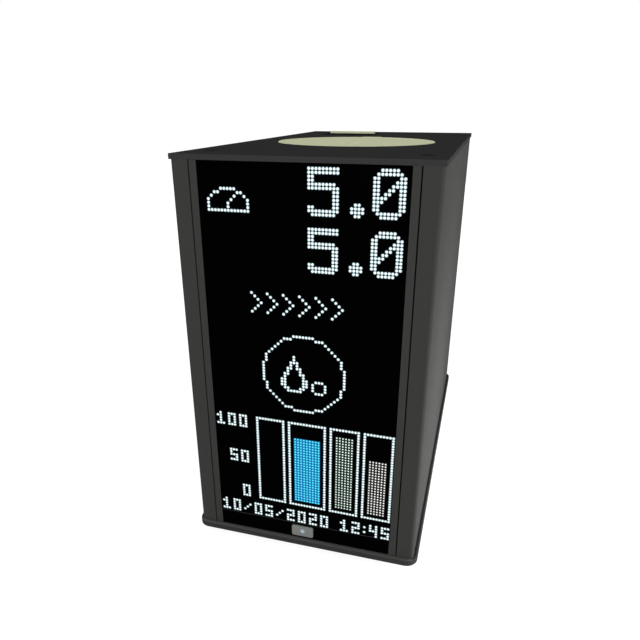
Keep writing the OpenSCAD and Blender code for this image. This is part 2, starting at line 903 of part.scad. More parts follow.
module inlet_pins() {
    color("silver")
        for (p = inlet_pin_places)
            box([p[0] - 1, yr - inlet_pin_in, p[1] - 2], [p[0] + 1, yr + 0.2, p[1] + 2]);
}

module inlet_screws() {
    color([0.15, 0.15, 0.15])
        for (s = [-1, 1])
            facing_rear([inlet_x + s * 20, yr + 2.2, sock_z])
                countersunk_screw(3, 9);
}

// Power switch: a snap-in housing and the rocker that swings in it
rocker_w = 9.4;
rocker_open_w = rocker_w + 0.5;
rocker_pin_r = 1.2;

module switch_housing() {
    color([0.08, 0.08, 0.08])
        difference() {
            union() {
                box([switch_x - switch_w / 2, yr, sock_z - 10.6],
                    [switch_x + switch_w / 2, yr + 1.8, sock_z + 10.6]);
                box([switch_x - switch_w / 2 + 1, yr - 14, sock_z - 9.6],
                    [switch_x + switch_w / 2 - 1, yr + 0.5, sock_z + 9.6]);
            }
            box([switch_x - rocker_open_w / 2, yr - 8, sock_z - 9],
                [switch_x + rocker_open_w / 2, yr + 3, sock_z + 9]);
            bar_x([switch_x - rocker_w / 2 - 1.2, rocker_y, sock_z], rocker_w + 2.4,
                rocker_pin_r + run_fit);
        }
}

module power_rocker() {
    color([0.12, 0.12, 0.12])
        translate([switch_x, rocker_y, sock_z])
            rotate([-rocker_tilt, 0, 0]) {
                translate([-rocker_w / 2, 0, 0])
                    rotate([90, 0, 90])
                        linear_extrude(rocker_w)
                            polygon([[2.2, 0], [4.2, 8], [0, 8.3], [-3.5, 5], [-3.5, -5], [0, -8.3],
                                [4.2, -8]]);
                bar_x([-rocker_w / 2 - 1, 0, 0], rocker_w + 2, rocker_pin_r);
            }
}

jack_z0 = sock_z - 6.7;

module network_jack() {
    color("silver")
        difference() {
            box([jack_x - jack_w / 2, yr - 20, jack_z0],
                [jack_x + jack_w / 2, yr + 0.6, jack_z0 + 13.4]);
            box([jack_x - 5.9, yr - 12, jack_z0 + 3.2], [jack_x + 5.9, yr + 1, jack_z0 + 10.2]);
            box([jack_x - 3, yr - 12, jack_z0 + 1.6], [jack_x + 3, yr + 1, jack_z0 + 4]);
        }
}

module usb_port() {
    color("silver")
        difference() {
            box([usb_x - usb_w / 2, yr - 16, jack_z0], [usb_x + usb_w / 2, yr + 0.6, jack_z0 + 11]);
            difference() {
                facing_rear([usb_x, yr - 9, jack_z0 + 5.5])
                    linear_extrude(11)
                        polygon([[-4.2, 3.9], [4.2, 3.9], [4.2, -2.2], [2.6, -3.9], [-2.6, -3.9],
                            [-4.2, -2.2]]);
                box([usb_x - 2.8, yr - 12, jack_z0 + 4.1], [usb_x + 2.8, yr - 0.4, jack_z0 + 7.1]);
            }
        }
}

module port_board() {
    color([0.05, 0.35, 0.18]) {
        box([jack_x - 11, yr - 34, jack_z0 - pcb_t],
            [usb_x + port_board_margin, yr - rear_t - 0.5, jack_z0]);
        for (x = [jack_x - 8, usb_x + 4])
            translate([x, yr - 30, z0])
                cylinder(h = jack_z0 - pcb_t - z0, r = 2.5);
    }
}

// Bulkhead body for the hydrogen line, bored for the tube
module hydrogen_outlet() {
    color([0.75, 0.75, 0.74])
        facing_rear([port_pitch, yr, port_z])
            difference() {
                union() {
                    translate([0, 0, -outlet_inner])
                        cylinder(h = outlet_inner + outlet_reach - 9, r = port_r);
                    hexagon(14, 5);
                }
                translate([0, 0, -outlet_inner - 1])
                    cylinder(h = outlet_inner + outlet_reach - 10, r = 1.2);
                translate([0, 0, outlet_reach - 14])
                    cylinder(h = 15, r = outlet_tube_d / 2 + 0.05);
            }
}

module outlet_nuts() {
    color([0.72, 0.72, 0.7]) {
        facing_rear([port_pitch, yr - rear_t - 5, port_z])
            difference() {
                hexagon(14, 5);
                translate([0, 0, -1])
                    cylinder(h = 7, r = port_r + 0.05);
            }
        facing_rear([port_pitch, yr + outlet_reach - 15, port_z])
            difference() {
                union() {
                    hexagon(12.7, 11);
                    translate([0, 0, 11])
                        cylinder(h = 4, r1 = 5.6, r2 = 4.2);
                }
                translate([0, 0, -1])
                    cylinder(h = 7, r = port_r + 0.05);
                cylinder(h = 16, r = outlet_tube_d / 2 + 0.05);
            }
    }
}

// Barbed fitting that lets the oxygen and steam out
module vent_barb() {
    color([0.85, 0.85, 0.83])
        facing_rear([0, yr, port_z])
            difference() {
                union() {
                    translate([0, 0, -vent_inner])
                        cylinder(h = vent_inner + 2, r = port_r);
                    hexagon(14, 5);
                    translate([0, 0, -rear_t - 5])
                        hexagon(14, 5);
                    cylinder(h = vent_reach - 1, r = 2.6);
                    for (i = [0:2])
                        translate([0, 0, vent_reach - 4 - i * 3.6])
                            cylinder(h = 3.4, r1 = 3.6, r2 = 2.6);
                }
                translate([0, 0, -vent_inner - 1])
                    cylinder(h = vent_reach + vent_inner + 2, r = 1.6);
            }
}

module drain_port() {
    color([0.12, 0.12, 0.13])
        facing_rear([-port_pitch, yr, port_z])
            difference() {
                union() {
                    translate([0, 0, -drain_inner])
                        cylinder(h = drain_inner + drain_reach - 3, r = port_r);
                    hexagon(14, 4);
                    translate([0, 0, -rear_t - 5])
                        hexagon(14, 5);
                }
                translate([0, 0, -drain_inner - 1])
                    cylinder(h = drain_inner + drain_reach, r = 2.5);
            }
}

// Knurled cap screwed over the drain port
module drain_cap() {
    color([0.15, 0.15, 0.16])
        facing_rear([-port_pitch, yr + 4.2, port_z])
            difference() {
                cylinder(h = drain_reach - 4.2, r = 7.5);
                translate([0, 0, -1])
                    cylinder(h = drain_reach - 4.2 - 1.2, r = port_r + 0.05);
                for (a = [0:20:340])
                    rotate(a)
                        translate([7.9, 0, 1])
                            cylinder(h = drain_reach, r = 0.7);
            }
}

// Plan of the tank, grown or shrunk
module tank_plan(grow) {
    translate([0, lid_cy])
        round_rect(tank_w + 2 * grow, tank_d + 2 * grow, 8 + grow);
}

// Outlets through the tank's floor: to the pump, and to the drain port
outlet_x = stack_x - stack_w / 2 + 18;
tank_outlet_y = tank_y + tank_d - 24;
drain_outlet_y = tank_y + tank_d - 13;

module water_tank() {
    color([0.82, 0.84, 0.8])
        difference() {
            union() {
                translate([0, 0, tank_z])
                    linear_extrude(tank_h)
                        tank_plan(0);
                translate([0, lid_cy, tank_top - 1])
                    cylinder(h = neck_h + 1 - 0.4, r = neck_r + 4, $fn = 96);
            }
            translate([0, 0, tank_z + tank_wall])
                linear_extrude(tank_h - 2 * tank_wall)
                    tank_plan(-tank_wall);
            translate([0, lid_cy, tank_top - tank_wall - 1])
                cylinder(h = neck_h + tank_wall + 2, r = neck_r, $fn = 96);
            translate([outlet_x, tank_outlet_y, tank_z - 1])
                cylinder(h = tank_wall + 2, r = 2);
            translate([-port_pitch, drain_outlet_y, tank_z - 1])
                cylinder(h = tank_wall + 2, r = 2);
            bar_y([0, tank_y + tank_d - tank_wall - 1, z_top - vent_down], tank_wall + 2, 2);
        }
}

module lid_seal() {
    color([0.5, 0.2, 0.15])
        translate([0, lid_cy, z_top - 0.4])
            difference() {
                cylinder(h = z_lid - lid_t - z_top + 0.4, r = neck_r + 2.8, $fn = 96);
                translate([0, 0, -1])
                    cylinder(h = 10, r = neck_r + 0.5, $fn = 96);
            }
}

module tank_lid() {
    rim = 0.6;
    color([0.69, 0.7, 0.58])
        translate([0, lid_cy, z_lid - lid_t]) {
            rotate_extrude($fn = 96)
                polygon([[0, 0], [lid_r, 0], [lid_r, lid_t - rim], [lid_r - rim, lid_t],
                    [lid_r - 4, lid_t], [lid_r - 4.6, lid_t - 0.35], [0, lid_t - 0.35]]);
            translate([0, 0, -9])
                difference() {
                    cylinder(h = 9.5, r = neck_r - 0.4, $fn = 96);
                    translate([0, 0, -1])
                        cylinder(h = 10, r = neck_r - 2.4, $fn = 96);
                }
            translate([0, lid_r - 3, 0])
                linear_extrude(lid_t - 0.2)
                    difference() {
                        translate([0, (tab_l + 3) / 2 - 1])
                            round_rect(tab_w, tab_l + 5, 2.5);
                        translate([0, -20])
                            square([tab_w + 2, 36], center = true);
                    }
            for (s = [-1, 1])
                translate([s * 5.3, -20, lid_t - 0.5])
                    linear_extrude(0.65)
                        slot(5, 2.2);
        }
}

// Shelf that carries the tank, the manifold and the cartridge's housing
module tank_shelf() {
    side_x = inner_x - face_fit;
    color("silver")
        difference() {
            union() {
                box([-side_x, shelf_y0, shelf_z], [side_x, shelf_y1, shelf_z + shelf_t]);
                for (s = [-1, 1])
                    box([s < 0 ? -side_x : side_x - shelf_t, shelf_y0, shelf_z - 12],
                        [s < 0 ? -side_x + shelf_t : side_x, shelf_y1, shelf_z + 0.5]);
            }
            for (p = [[outlet_x, tank_outlet_y], [-port_pitch, drain_outlet_y], [column_x, gas_riser_y]])
                translate([p[0], p[1], shelf_z - 1])
                    cylinder(h = shelf_t + 2, r = tube_r + fit);
        }
}

module level_sensor() {
    x = tank_w / 2 - 14;
    color([0.15, 0.2, 0.4])
        box([-x - 12, tank_y - 5, tank_z + 20], [-x + 12, tank_y - face_fit, tank_z + 58]);
}

// The cartridge stands in its housing, and its cap closes the opening in the top plate
cart_z = shelf_z + shelf_t + 2;
cart_top = z_top - 4;
housing_t = 1.8;

module deioniser_housing() {
    color([0.2, 0.2, 0.2])
        translate([cap_x, cap_y, shelf_z + shelf_t])
            difference() {
                linear_extrude(z_top - face_fit - shelf_z - shelf_t)
                    round_rect(cap_w + 1, cap_l + 1, 3);
                translate([0, 0, housing_t])
                    linear_extrude(z_top)
                        round_rect(cap_w + 1 - 2 * housing_t, cap_l + 1 - 2 * housing_t, 1.5);
            }
}

module deioniser_cartridge() {
    color([0.8, 0.8, 0.76])
        translate([cap_x, cap_y, cart_z])
            linear_extrude(cart_top - cart_z)
                round_rect(cap_w + 1 - 2 * housing_t - 2 * fit, cap_l + 1 - 2 * housing_t - 2 * fit, 1.2);
}

// The cap has a grip bar across its middle, and a finger well in front of the bar
grip_t = 5;
grip_front = 1.25;
well_deep = 1.8;
well_front = 2 - cap_l / 2 - cap_over;
grip_top = well_deep + 0.4 + grip_h;

module cartridge_cap() {
    color([0.68, 0.68, 0.6])
        translate([cap_x, cap_y, 0]) {
            difference() {
                union() {
                    translate([0, 0, z_top])
                        linear_extrude(top_t)
                            cap_outline(0);
                    translate([0, 0, cart_top])
                        linear_extrude(z_top - cart_top + 0.5)
                            round_rect(cap_w - 2 * housing_t - 0.4, cap_l - 2 * housing_t - 0.4, 1.2);
                }
                translate([0, (grip_front + well_front) / 2, z_top + top_t - well_deep])
                    linear_extrude(well_deep + 1)
                        round_rect(grip_w, grip_front - well_front, 1);
            }
            translate([-grip_w / 2, grip_front - 0.2, z_top + top_t - well_deep - 0.4])
                rotate([90, 0, 90])
                    linear_extrude(grip_w)
                        polygon([[0, 0], [grip_t, 0], [grip_t, grip_top - 0.7],
                            [grip_t - 0.7, grip_top], [0.5, grip_top], [0, grip_top - 0.5]]);
        }
}

// Water pump: motor, head with two ports, and its foot
pump_r = 14;
pump_head_z = z0 + 3 + pump_r;

module water_pump() {
    color([0.15, 0.15, 0.16]) {
        bar_y([outlet_x, pump_y, pump_head_z], 34, pump_r - 1);
        box([outlet_x - pump_r - 1, pump_y - 14, z0 + 3],
            [outlet_x + pump_r + 1, pump_y + 0.5, pump_head_z + pump_r]);
        box([outlet_x - pump_r - 3, pump_y - 14, z0], [outlet_x + pump_r + 3, pump_y + 30, z0 + 3.5]);
        translate([outlet_x, pump_y - 7, pump_head_z])
            cylinder(h = pump_r + 7, r = tube_r);
        bar_y([outlet_x, pump_y - 21, pump_head_z], 8, tube_r);
    }
}

// Tie bolts' places on the end plates, from their middle
tie_in = stack_w / 2 - 7;

module tie_places() {
    for (sx = [-1, 1], sy = [-1, 1])
        translate([sx * tie_in, sy * tie_in, 0])
            children();
}

// Outline of an end plate with its corners cut off
module end_plate_plan(w) {
    c = 4;
    h = w / 2;
    polygon([[-h + c, -h], [h - c, -h], [h, -h + c], [h, h - c], [h - c, h], [-h + c, h],
        [-h, h - c], [-h, -h + c]]);
}

module stack_end_plates() {
    color([0.78, 0.79, 0.8])
        facing_rear([stack_x, stack_y, stack_z])
            for (z = [0, stack_l - end_plate_t])
                translate([0, 0, z])
                    difference() {
                        linear_extrude(end_plate_t)
                            end_plate_plan(stack_w);
                        tie_places()
                            translate([0, 0, -1])
                                cylinder(h = end_plate_t + 2, r = tie_d / 2 + fit);
                        if (z > 0)
                            for (p = stack_ports)
                                translate([p[0] - stack_x, stack_z - p[1], -1])
                                    cylinder(h = end_plate_t + 2, r = 2);
                    }
}

// Ports on the rear end plate, in X and Z: water in from the pump, and gas out
stack_ports = [[outlet_x, pump_head_z], [stack_x + stack_w / 2 - 18,
    stack_z + stack_w / 2 - 17]];

module stack_layer(w, t) {
    difference() {
        linear_extrude(t)
            square([w, w], center = true);
        tie_places()
            translate([0, 0, -1])
                cylinder(h = t + 2, r = tie_d / 2 + fit);
    }
}

module bipolar_plates() {
    color([0.3, 0.3, 0.32])
        facing_rear([stack_x, stack_y + end_plate_t, stack_z])
            for (i = [0:cell_count - 1])
                translate([0, 0, membrane_t + i * (cell_t + membrane_t)])
                    stack_layer(stack_w - 4, cell_t);
}

module membranes() {
    color([0.8, 0.5, 0.2])
        facing_rear([stack_x, stack_y + end_plate_t, stack_z])
            for (i = [0:cell_count])
                translate([0, 0, i * (cell_t + membrane_t)])
                    stack_layer(stack_w - 5, membrane_t);
}

module tie_bolts() {
    color("silver")
        facing_rear([stack_x, stack_y, stack_z])
            tie_places() {
                translate([0, 0, -8])
                    cylinder(h = stack_l + 16, r = tie_d / 2);
                for (z = [-tie_d * 0.8 - 1, stack_l + 1])
                    translate([0, 0, z])
                        hexagon(tie_d * 1.65, tie_d * 0.8);
                for (z = [-1, stack_l])
                    translate([0, 0, z])
                        cylinder(h = 1, r = tie_d);
            }
}

module stack_cradle() {
    color("silver")
        for (y = [stack_y, stack_y + stack_l - end_plate_t]) {
            box([stack_x - stack_w / 2, y, z0], [stack_x + stack_w / 2, y + end_plate_t, z0 + 2]);
            for (s = [-1, 1])
                box([stack_x + s * (stack_w / 2 - 8) - 3, y, z0],
                    [stack_x + s * (stack_w / 2 - 8) + 3, y + end_plate_t, stack_z - stack_w / 2]);
        }
}

// A standing vessel with end caps, on its foot at z0
module vessel(r, h, cap_h) {
    translate([0, 0, cap_h])
        cylinder(h = h - 2 * cap_h, r = r - 1.5);
    for (z = [0, h - cap_h])
        translate([0, 0, z])
            cylinder(h = cap_h, r = r);
    translate([0, 0, h])
        cylinder(h = vessel_port_h, r = 2.5);
}

vessel_port_h = 6;
dryer_port_z = z0 + 20;

module separator() {
    color([0.75, 0.8, 0.85])
        translate([column_x, separator_y, z0]) {
            vessel(separator_r, separator_h, 8);
            bar_y([0, 0, stack_ports[1][1] - z0], separator_r + 3, 2.5);
        }
}

module dryer_column() {
    color([0.7, 0.7, 0.72])
        translate([column_x, dryer_y, z0]) {
            vessel(dryer_r, dryer_h, 12);
            bar_y([0, 0, dryer_port_z - z0], dryer_r + 3, 2.5);
        }
}

// Gas line behind the tank: a manifold with the valve and the sensor on it
manifold_x = port_pitch;
manifold_y = shelf_y1 - 30;
manifold_l = 26;
manifold_h = 24;
manifold_z = port_z - 10;
gas_riser_y = shelf_y1 - 44;
gas_in_z = shelf_z + 16;

module gas_manifold() {
    color([0.7, 0.71, 0.73])
        difference() {
            box([manifold_x - 18, manifold_y, shelf_z + shelf_t],
                [column_x + 4, manifold_y + manifold_l, manifold_z + manifold_h]);
            bar_y([manifold_x, manifold_y + 10, port_z], 20, 1.5);
            bar_y([column_x, manifold_y - 1, gas_in_z], 12, 1.5);
        }
}

module purge_valve() {
    color([0.1, 0.1, 0.1])
        translate([manifold_x - 9, manifold_y + 13, manifold_z + manifold_h]) {
            cylinder(h = 5, r = 5);
            translate([-8, -9, 5])
                cube([16, 18, 20]);
        }
}

module pressure_sensor() {
    color([0.75, 0.75, 0.75])
        translate([manifold_x + 6, manifold_y + 13, manifold_z + manifold_h]) {
            hexagon(9, 5);
            translate([0, 0, 5])
                cylinder(h = 16, r = 4);
        }
}

// Terminals at the rear end of the power supply
terminal_count = 6;
terminal_pitch = 10;

module power_supply() {
    color([0.72, 0.73, 0.74])
        difference() {
            box([psu_x, psu_y, z0], [psu_x + psu_w, psu_y + psu_d, z0 + psu_h]);
            for (i = [0:8], j = [0:5])
                bar_x([psu_x + psu_w - 1, psu_y + 20 + i * 11, z0 + 16 + j * 12], 2, 3);
            box([psu_x + 6, psu_y + psu_d - 12, z0 + 8],
                [psu_x + psu_w + 1, psu_y + psu_d + 1, z0 + 10 + terminal_count * terminal_pitch]);
        }
    color([0.1, 0.1, 0.1])
        for (i = [0:terminal_count - 1])
            box([psu_x + 6, psu_y + psu_d - 12, z0 + 10 + i * terminal_pitch],
                [psu_x + psu_w - 6, psu_y + psu_d - 3, z0 + 8 + (i + 1) * terminal_pitch]);
}

// Tubes that carry water and gas from piece to piece
tube_r = 3;
bend = 9;
tight_bend = 6;
vent_down = 20;

module tube(pts, bend_r = bend) {
    difference() {
        tube_solid(pts, bend_r, tube_r);
        tube_solid(pts, bend_r, tube_r - 1);
    }
}

module tubing() {
    stack_rear = stack_y + stack_l;
    tank_rear = tank_y + tank_d;
    gas_z = stack_ports[1][1];
    gas_x = stack_ports[1][0];
    turn_y = stack_rear + 14;
    pump_top = pump_head_z + pump_r + 7;
    feed_z = pump_top + 32;
    arch_z = z0 + dryer_h + 22;
    drain_run_z = shelf_z - 8.5;
    drain_turn_y = yr - drain_inner - tight_bend - 0.5;
    color([0.9, 0.9, 0.9]) {
        // Tank to pump, and pump to stack
        tube([[outlet_x, tank_outlet_y, tank_z - face_fit], [outlet_x, tank_outlet_y, feed_z],
            [outlet_x, pump_y - 7, feed_z], [outlet_x, pump_y - 7, pump_top + face_fit]]);
        tube([[outlet_x, pump_y - 21.1, pump_head_z], [outlet_x, stack_rear + face_fit, pump_head_z]]);
        // Stack to separator, over to the dryer, and up to the manifold
        tube([[gas_x, stack_rear + face_fit, gas_z], [gas_x, turn_y, gas_z], [column_x, turn_y, gas_z],
            [column_x, separator_y + separator_r + 3.1, gas_z]]);
        tube([[column_x, separator_y, z0 + separator_h + vessel_port_h + face_fit],
            [column_x, separator_y, arch_z], [column_x, dryer_y, arch_z],
            [column_x, dryer_y, z0 + dryer_h + vessel_port_h + face_fit]]);
        tube([[column_x, dryer_y + dryer_r + 3.1, dryer_port_z], [column_x, gas_riser_y, dryer_port_z],
            [column_x, gas_riser_y, gas_in_z], [column_x, manifold_y - face_fit, gas_in_z]]);
        // Manifold to hydrogen outlet, tank to vent, and tank to drain
        tube([[manifold_x, manifold_y + manifold_l + face_fit, port_z],
            [manifold_x, yr - outlet_inner - face_fit, port_z]]);
        tube([[0, tank_rear + face_fit, z_top - vent_down], [0, tank_rear + 16, z_top - vent_down],
            [0, tank_rear + 16, port_z], [0, yr - vent_inner - face_fit, port_z]]);
        tube([[-port_pitch, yr - drain_inner - face_fit, port_z], [-port_pitch, drain_turn_y, port_z],
            [-port_pitch, drain_turn_y, drain_run_z], [-port_pitch, drain_outlet_y, drain_run_z],
            [-port_pitch, drain_outlet_y, tank_z - face_fit]], tight_bend);
    }
}

module wiring() {
    lead_r = 1.6;
    block_y = psu_y + psu_d - 3 + face_fit;
    psu_rear = psu_y + psu_d;
    // Mains lead from the inlet to the power supply
    color([0.1, 0.1, 0.1])
        tube_solid([[inlet_x, yr - inlet_pin_in - face_fit, sock_z], [inlet_x, psu_rear + 24, sock_z],
            [psu_x + 14, psu_rear + 24, sock_z], [psu_x + 14, block_y, sock_z]], tight_bend, 3);
    // Leads from the power supply to the stack
    for (i = [0, 1])
        color(i == 0 ? "red" : "black")
            tube_solid([[psu_x + 12 + i * 8, block_y, z0 + 44 + i * 10],
                [psu_x + 12 + i * 8, psu_rear + 10 - i * 5, z0 + 44 + i * 10],
                [outlet_x - 8 + i * 16, psu_rear + 10 - i * 5, z0 + 44 + i * 10],
                [outlet_x - 8 + i * 16, stack_y + stack_l + face_fit, z0 + 44 + i * 10]],
                tight_bend, lead_r);
}

base_plate();
rubber_feet();
base_screws();
side_panel_left();
side_panel_right();
top_plate();
top_screws();
front_frame();
frame_screws();
display_glass();
lower_panel();
light_tiles();
display_board();
push_button();
button_light();
button_switch();
control_board();
board_standoffs();
board_screws();
rear_panel();
rear_screws();
fan_frame();
fan_rotor();
fan_guard();
fan_screws();
mains_inlet();
inlet_pins();
inlet_screws();
switch_housing();
power_rocker();
network_jack();
usb_port();
port_board();
hydrogen_outlet();
outlet_nuts();
vent_barb();
drain_port();
drain_cap();
water_tank();
tank_lid();
lid_seal();
tank_shelf();
level_sensor();
deioniser_housing();
deioniser_cartridge();
cartridge_cap();
water_pump();
stack_end_plates();
bipolar_plates();
membranes();
tie_bolts();
stack_cradle();
separator();
dryer_column();
gas_manifold();
purge_valve();
pressure_sensor();
power_supply();
tubing();
wiring();
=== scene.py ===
"""Bench hydrogen generator: finishes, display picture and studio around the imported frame."""

import json
import math

import bmesh
import bpy
from mathutils import Matrix, Vector


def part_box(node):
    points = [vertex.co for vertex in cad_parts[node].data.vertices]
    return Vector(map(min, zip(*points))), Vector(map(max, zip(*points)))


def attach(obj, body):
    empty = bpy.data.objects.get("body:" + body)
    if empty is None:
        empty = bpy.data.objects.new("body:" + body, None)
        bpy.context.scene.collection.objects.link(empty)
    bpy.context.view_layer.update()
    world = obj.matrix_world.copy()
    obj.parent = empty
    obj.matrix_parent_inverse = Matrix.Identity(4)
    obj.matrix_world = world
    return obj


MM = 0.001

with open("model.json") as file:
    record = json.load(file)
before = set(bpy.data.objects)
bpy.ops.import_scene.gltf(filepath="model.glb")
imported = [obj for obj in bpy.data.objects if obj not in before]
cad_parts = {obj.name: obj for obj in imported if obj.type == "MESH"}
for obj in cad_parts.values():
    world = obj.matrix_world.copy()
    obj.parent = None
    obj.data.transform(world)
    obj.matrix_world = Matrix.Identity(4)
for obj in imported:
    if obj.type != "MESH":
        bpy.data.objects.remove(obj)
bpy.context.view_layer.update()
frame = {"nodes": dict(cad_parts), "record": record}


# Camera

CAMERA_PLACE = Vector((0.0952, -0.46075, 0.2809))
CAMERA_YAW = math.radians(16.06)
CAMERA_PITCH = math.radians(23.01)
PICTURE_SIDE = 640
FOCAL_PIXELS = 581.0
AXIS_PIXEL = (314.7, 350.8)
SENSOR = 36.0


def add_camera():
    """The camera of the photograph, solved from the cabinet's straight edges."""
    data = bpy.data.cameras.new("camera")
    data.sensor_width = SENSOR
    data.lens = FOCAL_PIXELS / PICTURE_SIDE * SENSOR
    data.shift_x = (PICTURE_SIDE / 2 - AXIS_PIXEL[0]) / PICTURE_SIDE
    data.shift_y = (AXIS_PIXEL[1] - PICTURE_SIDE / 2) / PICTURE_SIDE
    data.clip_start = 0.01
    data.clip_end = 100
    camera = bpy.data.objects.new("camera", data)
    camera.location = CAMERA_PLACE
    camera.rotation_euler = (math.pi / 2 - CAMERA_PITCH, 0, CAMERA_YAW)
    bpy.context.scene.collection.objects.link(camera)
    bpy.context.scene.camera = camera


# Node helpers


def linear(red, green, blue):
    """A colour as a picture shows it, 0 to 255, turned into Blender's linear values."""
    values = []
    for part in (red, green, blue):
        share = part / 255
        values.append(share / 12.92 if share <= 0.04045 else ((share + 0.055) / 1.055) ** 2.4)
    return (*values, 1.0)


def add_node(tree, kind, settings=None, **inputs):
    """A node with its settings and the start values of its inputs, where links are sockets."""
    node = tree.nodes.new(kind)
    for name, value in (settings or {}).items():
        setattr(node, name, value)
    for name, value in inputs.items():
        socket = node.inputs[int(name[1:])] if name[1:].isdigit() else node.inputs[name.replace("_", " ")]
        if isinstance(value, bpy.types.NodeSocket):
            tree.links.new(value, socket)
        else:
            socket.default_value = value
    return node


def math_node(tree, operation, first, second=0.0, third=0.0):
    """The result socket of one Math node."""
    node = add_node(tree, "ShaderNodeMath", {"operation": operation}, i0=first, i1=second, i2=third)
    return node.outputs[0]


def weigh(tree, first, share, second):
    """The first value by its share plus the second by the rest."""
    part = math_node(tree, "MULTIPLY", first, share)
    rest = math_node(tree, "MULTIPLY", second, 1 - share)
    return math_node(tree, "ADD", part, rest)


def ramp(tree, value, start, end, low=0.0, high=1.0):
    """Low where the value is at its start, high at its end, and clamped past both."""
    node = add_node(tree, "ShaderNodeMapRange", {"clamp": True}, Value=value)
    for name, number in (("From Min", start), ("From Max", end), ("To Min", low), ("To Max", high)):
        node.inputs[name].default_value = number
    return node.outputs[0]


def tint(tree, color, value, low, high):
    """A colour made darker and lighter by a 0 to 1 value, between two brightness factors."""
    node = add_node(tree, "ShaderNodeVectorMath", {"operation": "SCALE"}, i0=color)
    tree.links.new(ramp(tree, value, 0.0, 1.0, low, high), node.inputs["Scale"])
    return node.outputs[0]


def vector_node(tree, operation, first, second=(0, 0, 0)):
    """One Vector Math node, whose result sockets are named Vector and Value."""
    return add_node(tree, "ShaderNodeVectorMath", {"operation": operation}, i0=first, i1=second)


def object_place(tree):
    """The place on the piece, in object coordinates."""
    return add_node(tree, "ShaderNodeTexCoord").outputs["Object"]


def object_axis(tree, axis):
    """The place along X, Y or Z, in object coordinates."""
    return add_node(tree, "ShaderNodeSeparateXYZ", None, i0=object_place(tree)).outputs[axis]


def mix_colors(tree, share, first, second):
    """The first colour where the share is 0 and the second where it is 1. The first may be a socket."""
    blend = add_node(tree, "ShaderNodeMix", {"data_type": "RGBA"})
    # The Mix node holds float, vector and colour sockets of the same name
    colors = [s for s in blend.inputs if s.type == "RGBA"]
    if isinstance(first, bpy.types.NodeSocket):
        tree.links.new(first, colors[0])
    else:
        colors[0].default_value = first
    colors[1].default_value = second
    tree.links.new(share, blend.inputs["Factor"])
    return next(s for s in blend.outputs if s.type == "RGBA")


def noise(tree, scale, stretch=(1, 1, 1), detail=3.0, rough=0.55):
    """Noise in object coordinates. Scale is in features per metre, stretch slows it along an axis."""
    mapped = add_node(tree, "ShaderNodeMapping", None, Vector=object_place(tree))
    mapped.inputs["Scale"].default_value = stretch
    node = add_node(
        tree, "ShaderNodeTexNoise", None, Vector=mapped.outputs[0], Detail=detail, Roughness=rough)
    if isinstance(scale, bpy.types.NodeSocket):
        tree.links.new(scale, node.inputs["Scale"])
    else:
        node.inputs["Scale"].default_value = scale
    return node.outputs["Fac"]


def group_tree(name, inputs, outputs):
    """An empty node group with named sockets, given as (name, socket type, start value)."""
    tree = bpy.data.node_groups.new(name, "ShaderNodeTree")
    for socket_name, kind, value in inputs:
        socket = tree.interface.new_socket(socket_name, in_out="INPUT", socket_type=kind)
        socket.default_value = value
    for socket_name, kind in outputs:
        tree.interface.new_socket(socket_name, in_out="OUTPUT", socket_type=kind)
    start = tree.nodes.new("NodeGroupInput")
    end = tree.nodes.new("NodeGroupOutput")
    return tree, start.outputs, end.inputs


COLOR, FLOAT, VECTOR = "NodeSocketColor", "NodeSocketFloat", "NodeSocketVector"
FINISH_OUTPUTS = (("Color", COLOR), ("Roughness", FLOAT), ("Normal", VECTOR))


def finish_inputs(color, scale, depth, rough):
    """The sockets that each finish has: colour, grain per metre, grain depth in metres, roughness."""
    return (
        ("Color", COLOR, color),
        ("Grain", FLOAT, scale),
        ("Depth", FLOAT, depth),
        ("Roughness", FLOAT, rough),
        ("Variation", FLOAT, 0.06),
    )


# How much a finish's roughness follows its mottle, and the smoothest that it gets
MOTTLE_SWING = 0.18
SMOOTHEST = 0.04


def build_finish(name, make_height, defaults):
    """A finish group: make_height(tree, grain) returns a 0 to 1 relief and a 0 to 1 mottle."""
    tree, given, made = group_tree(name, finish_inputs(*defaults), FINISH_OUTPUTS)
    relief, mottle = make_height(tree, given["Grain"])
    bump = add_node(tree, "ShaderNodeBump", None, Height=relief, Distance=given["Depth"])
    tree.links.new(bump.outputs[0], made["Normal"])
    low = math_node(tree, "SUBTRACT", 1.0, given["Variation"])
    high = math_node(tree, "ADD", 1.0, given["Variation"])
    blend = add_node(tree, "ShaderNodeMapRange", None, Value=mottle)
    tree.links.new(low, blend.inputs["To Min"])
    tree.links.new(high, blend.inputs["To Max"])
    shade = add_node(tree, "ShaderNodeVectorMath", {"operation": "SCALE"}, i0=given["Color"])
    tree.links.new(blend.outputs[0], shade.inputs["Scale"])
    tree.links.new(shade.outputs[0], made["Color"])
    swing = math_node(tree, "MULTIPLY", math_node(tree, "SUBTRACT", mottle, 0.5), MOTTLE_SWING)
    worn = math_node(tree, "ADD", given["Roughness"], swing)
    tree.links.new(math_node(tree, "MAXIMUM", worn, SMOOTHEST), made["Roughness"])
    return tree


def powder_relief(tree, grain):
    """Orange peel of a sprayed powder coat, with its fine speckle."""
    peel = noise(tree, grain, detail=2.0)
    fine = noise(tree, math_node(tree, "MULTIPLY", grain, 3.1), detail=2.0)
    cloud = noise(tree, 14.0, detail=4.0)
    return weigh(tree, peel, 0.7, fine), weigh(tree, cloud, 0.5, fine)


def extruded_relief(tree, grain):
    """Die lines of an extruded profile, which run along Z, under a matt anodised skin."""
    lines = noise(tree, grain, stretch=(1, 1, 0.004), detail=4.0, rough=0.7)
    skin = noise(tree, math_node(tree, "MULTIPLY", grain, 2.3), detail=2.0)
    cloud = noise(tree, 9.0, stretch=(1, 1, 0.25), detail=3.0)
    return weigh(tree, lines, 0.6, skin), weigh(tree, cloud, 0.6, lines)


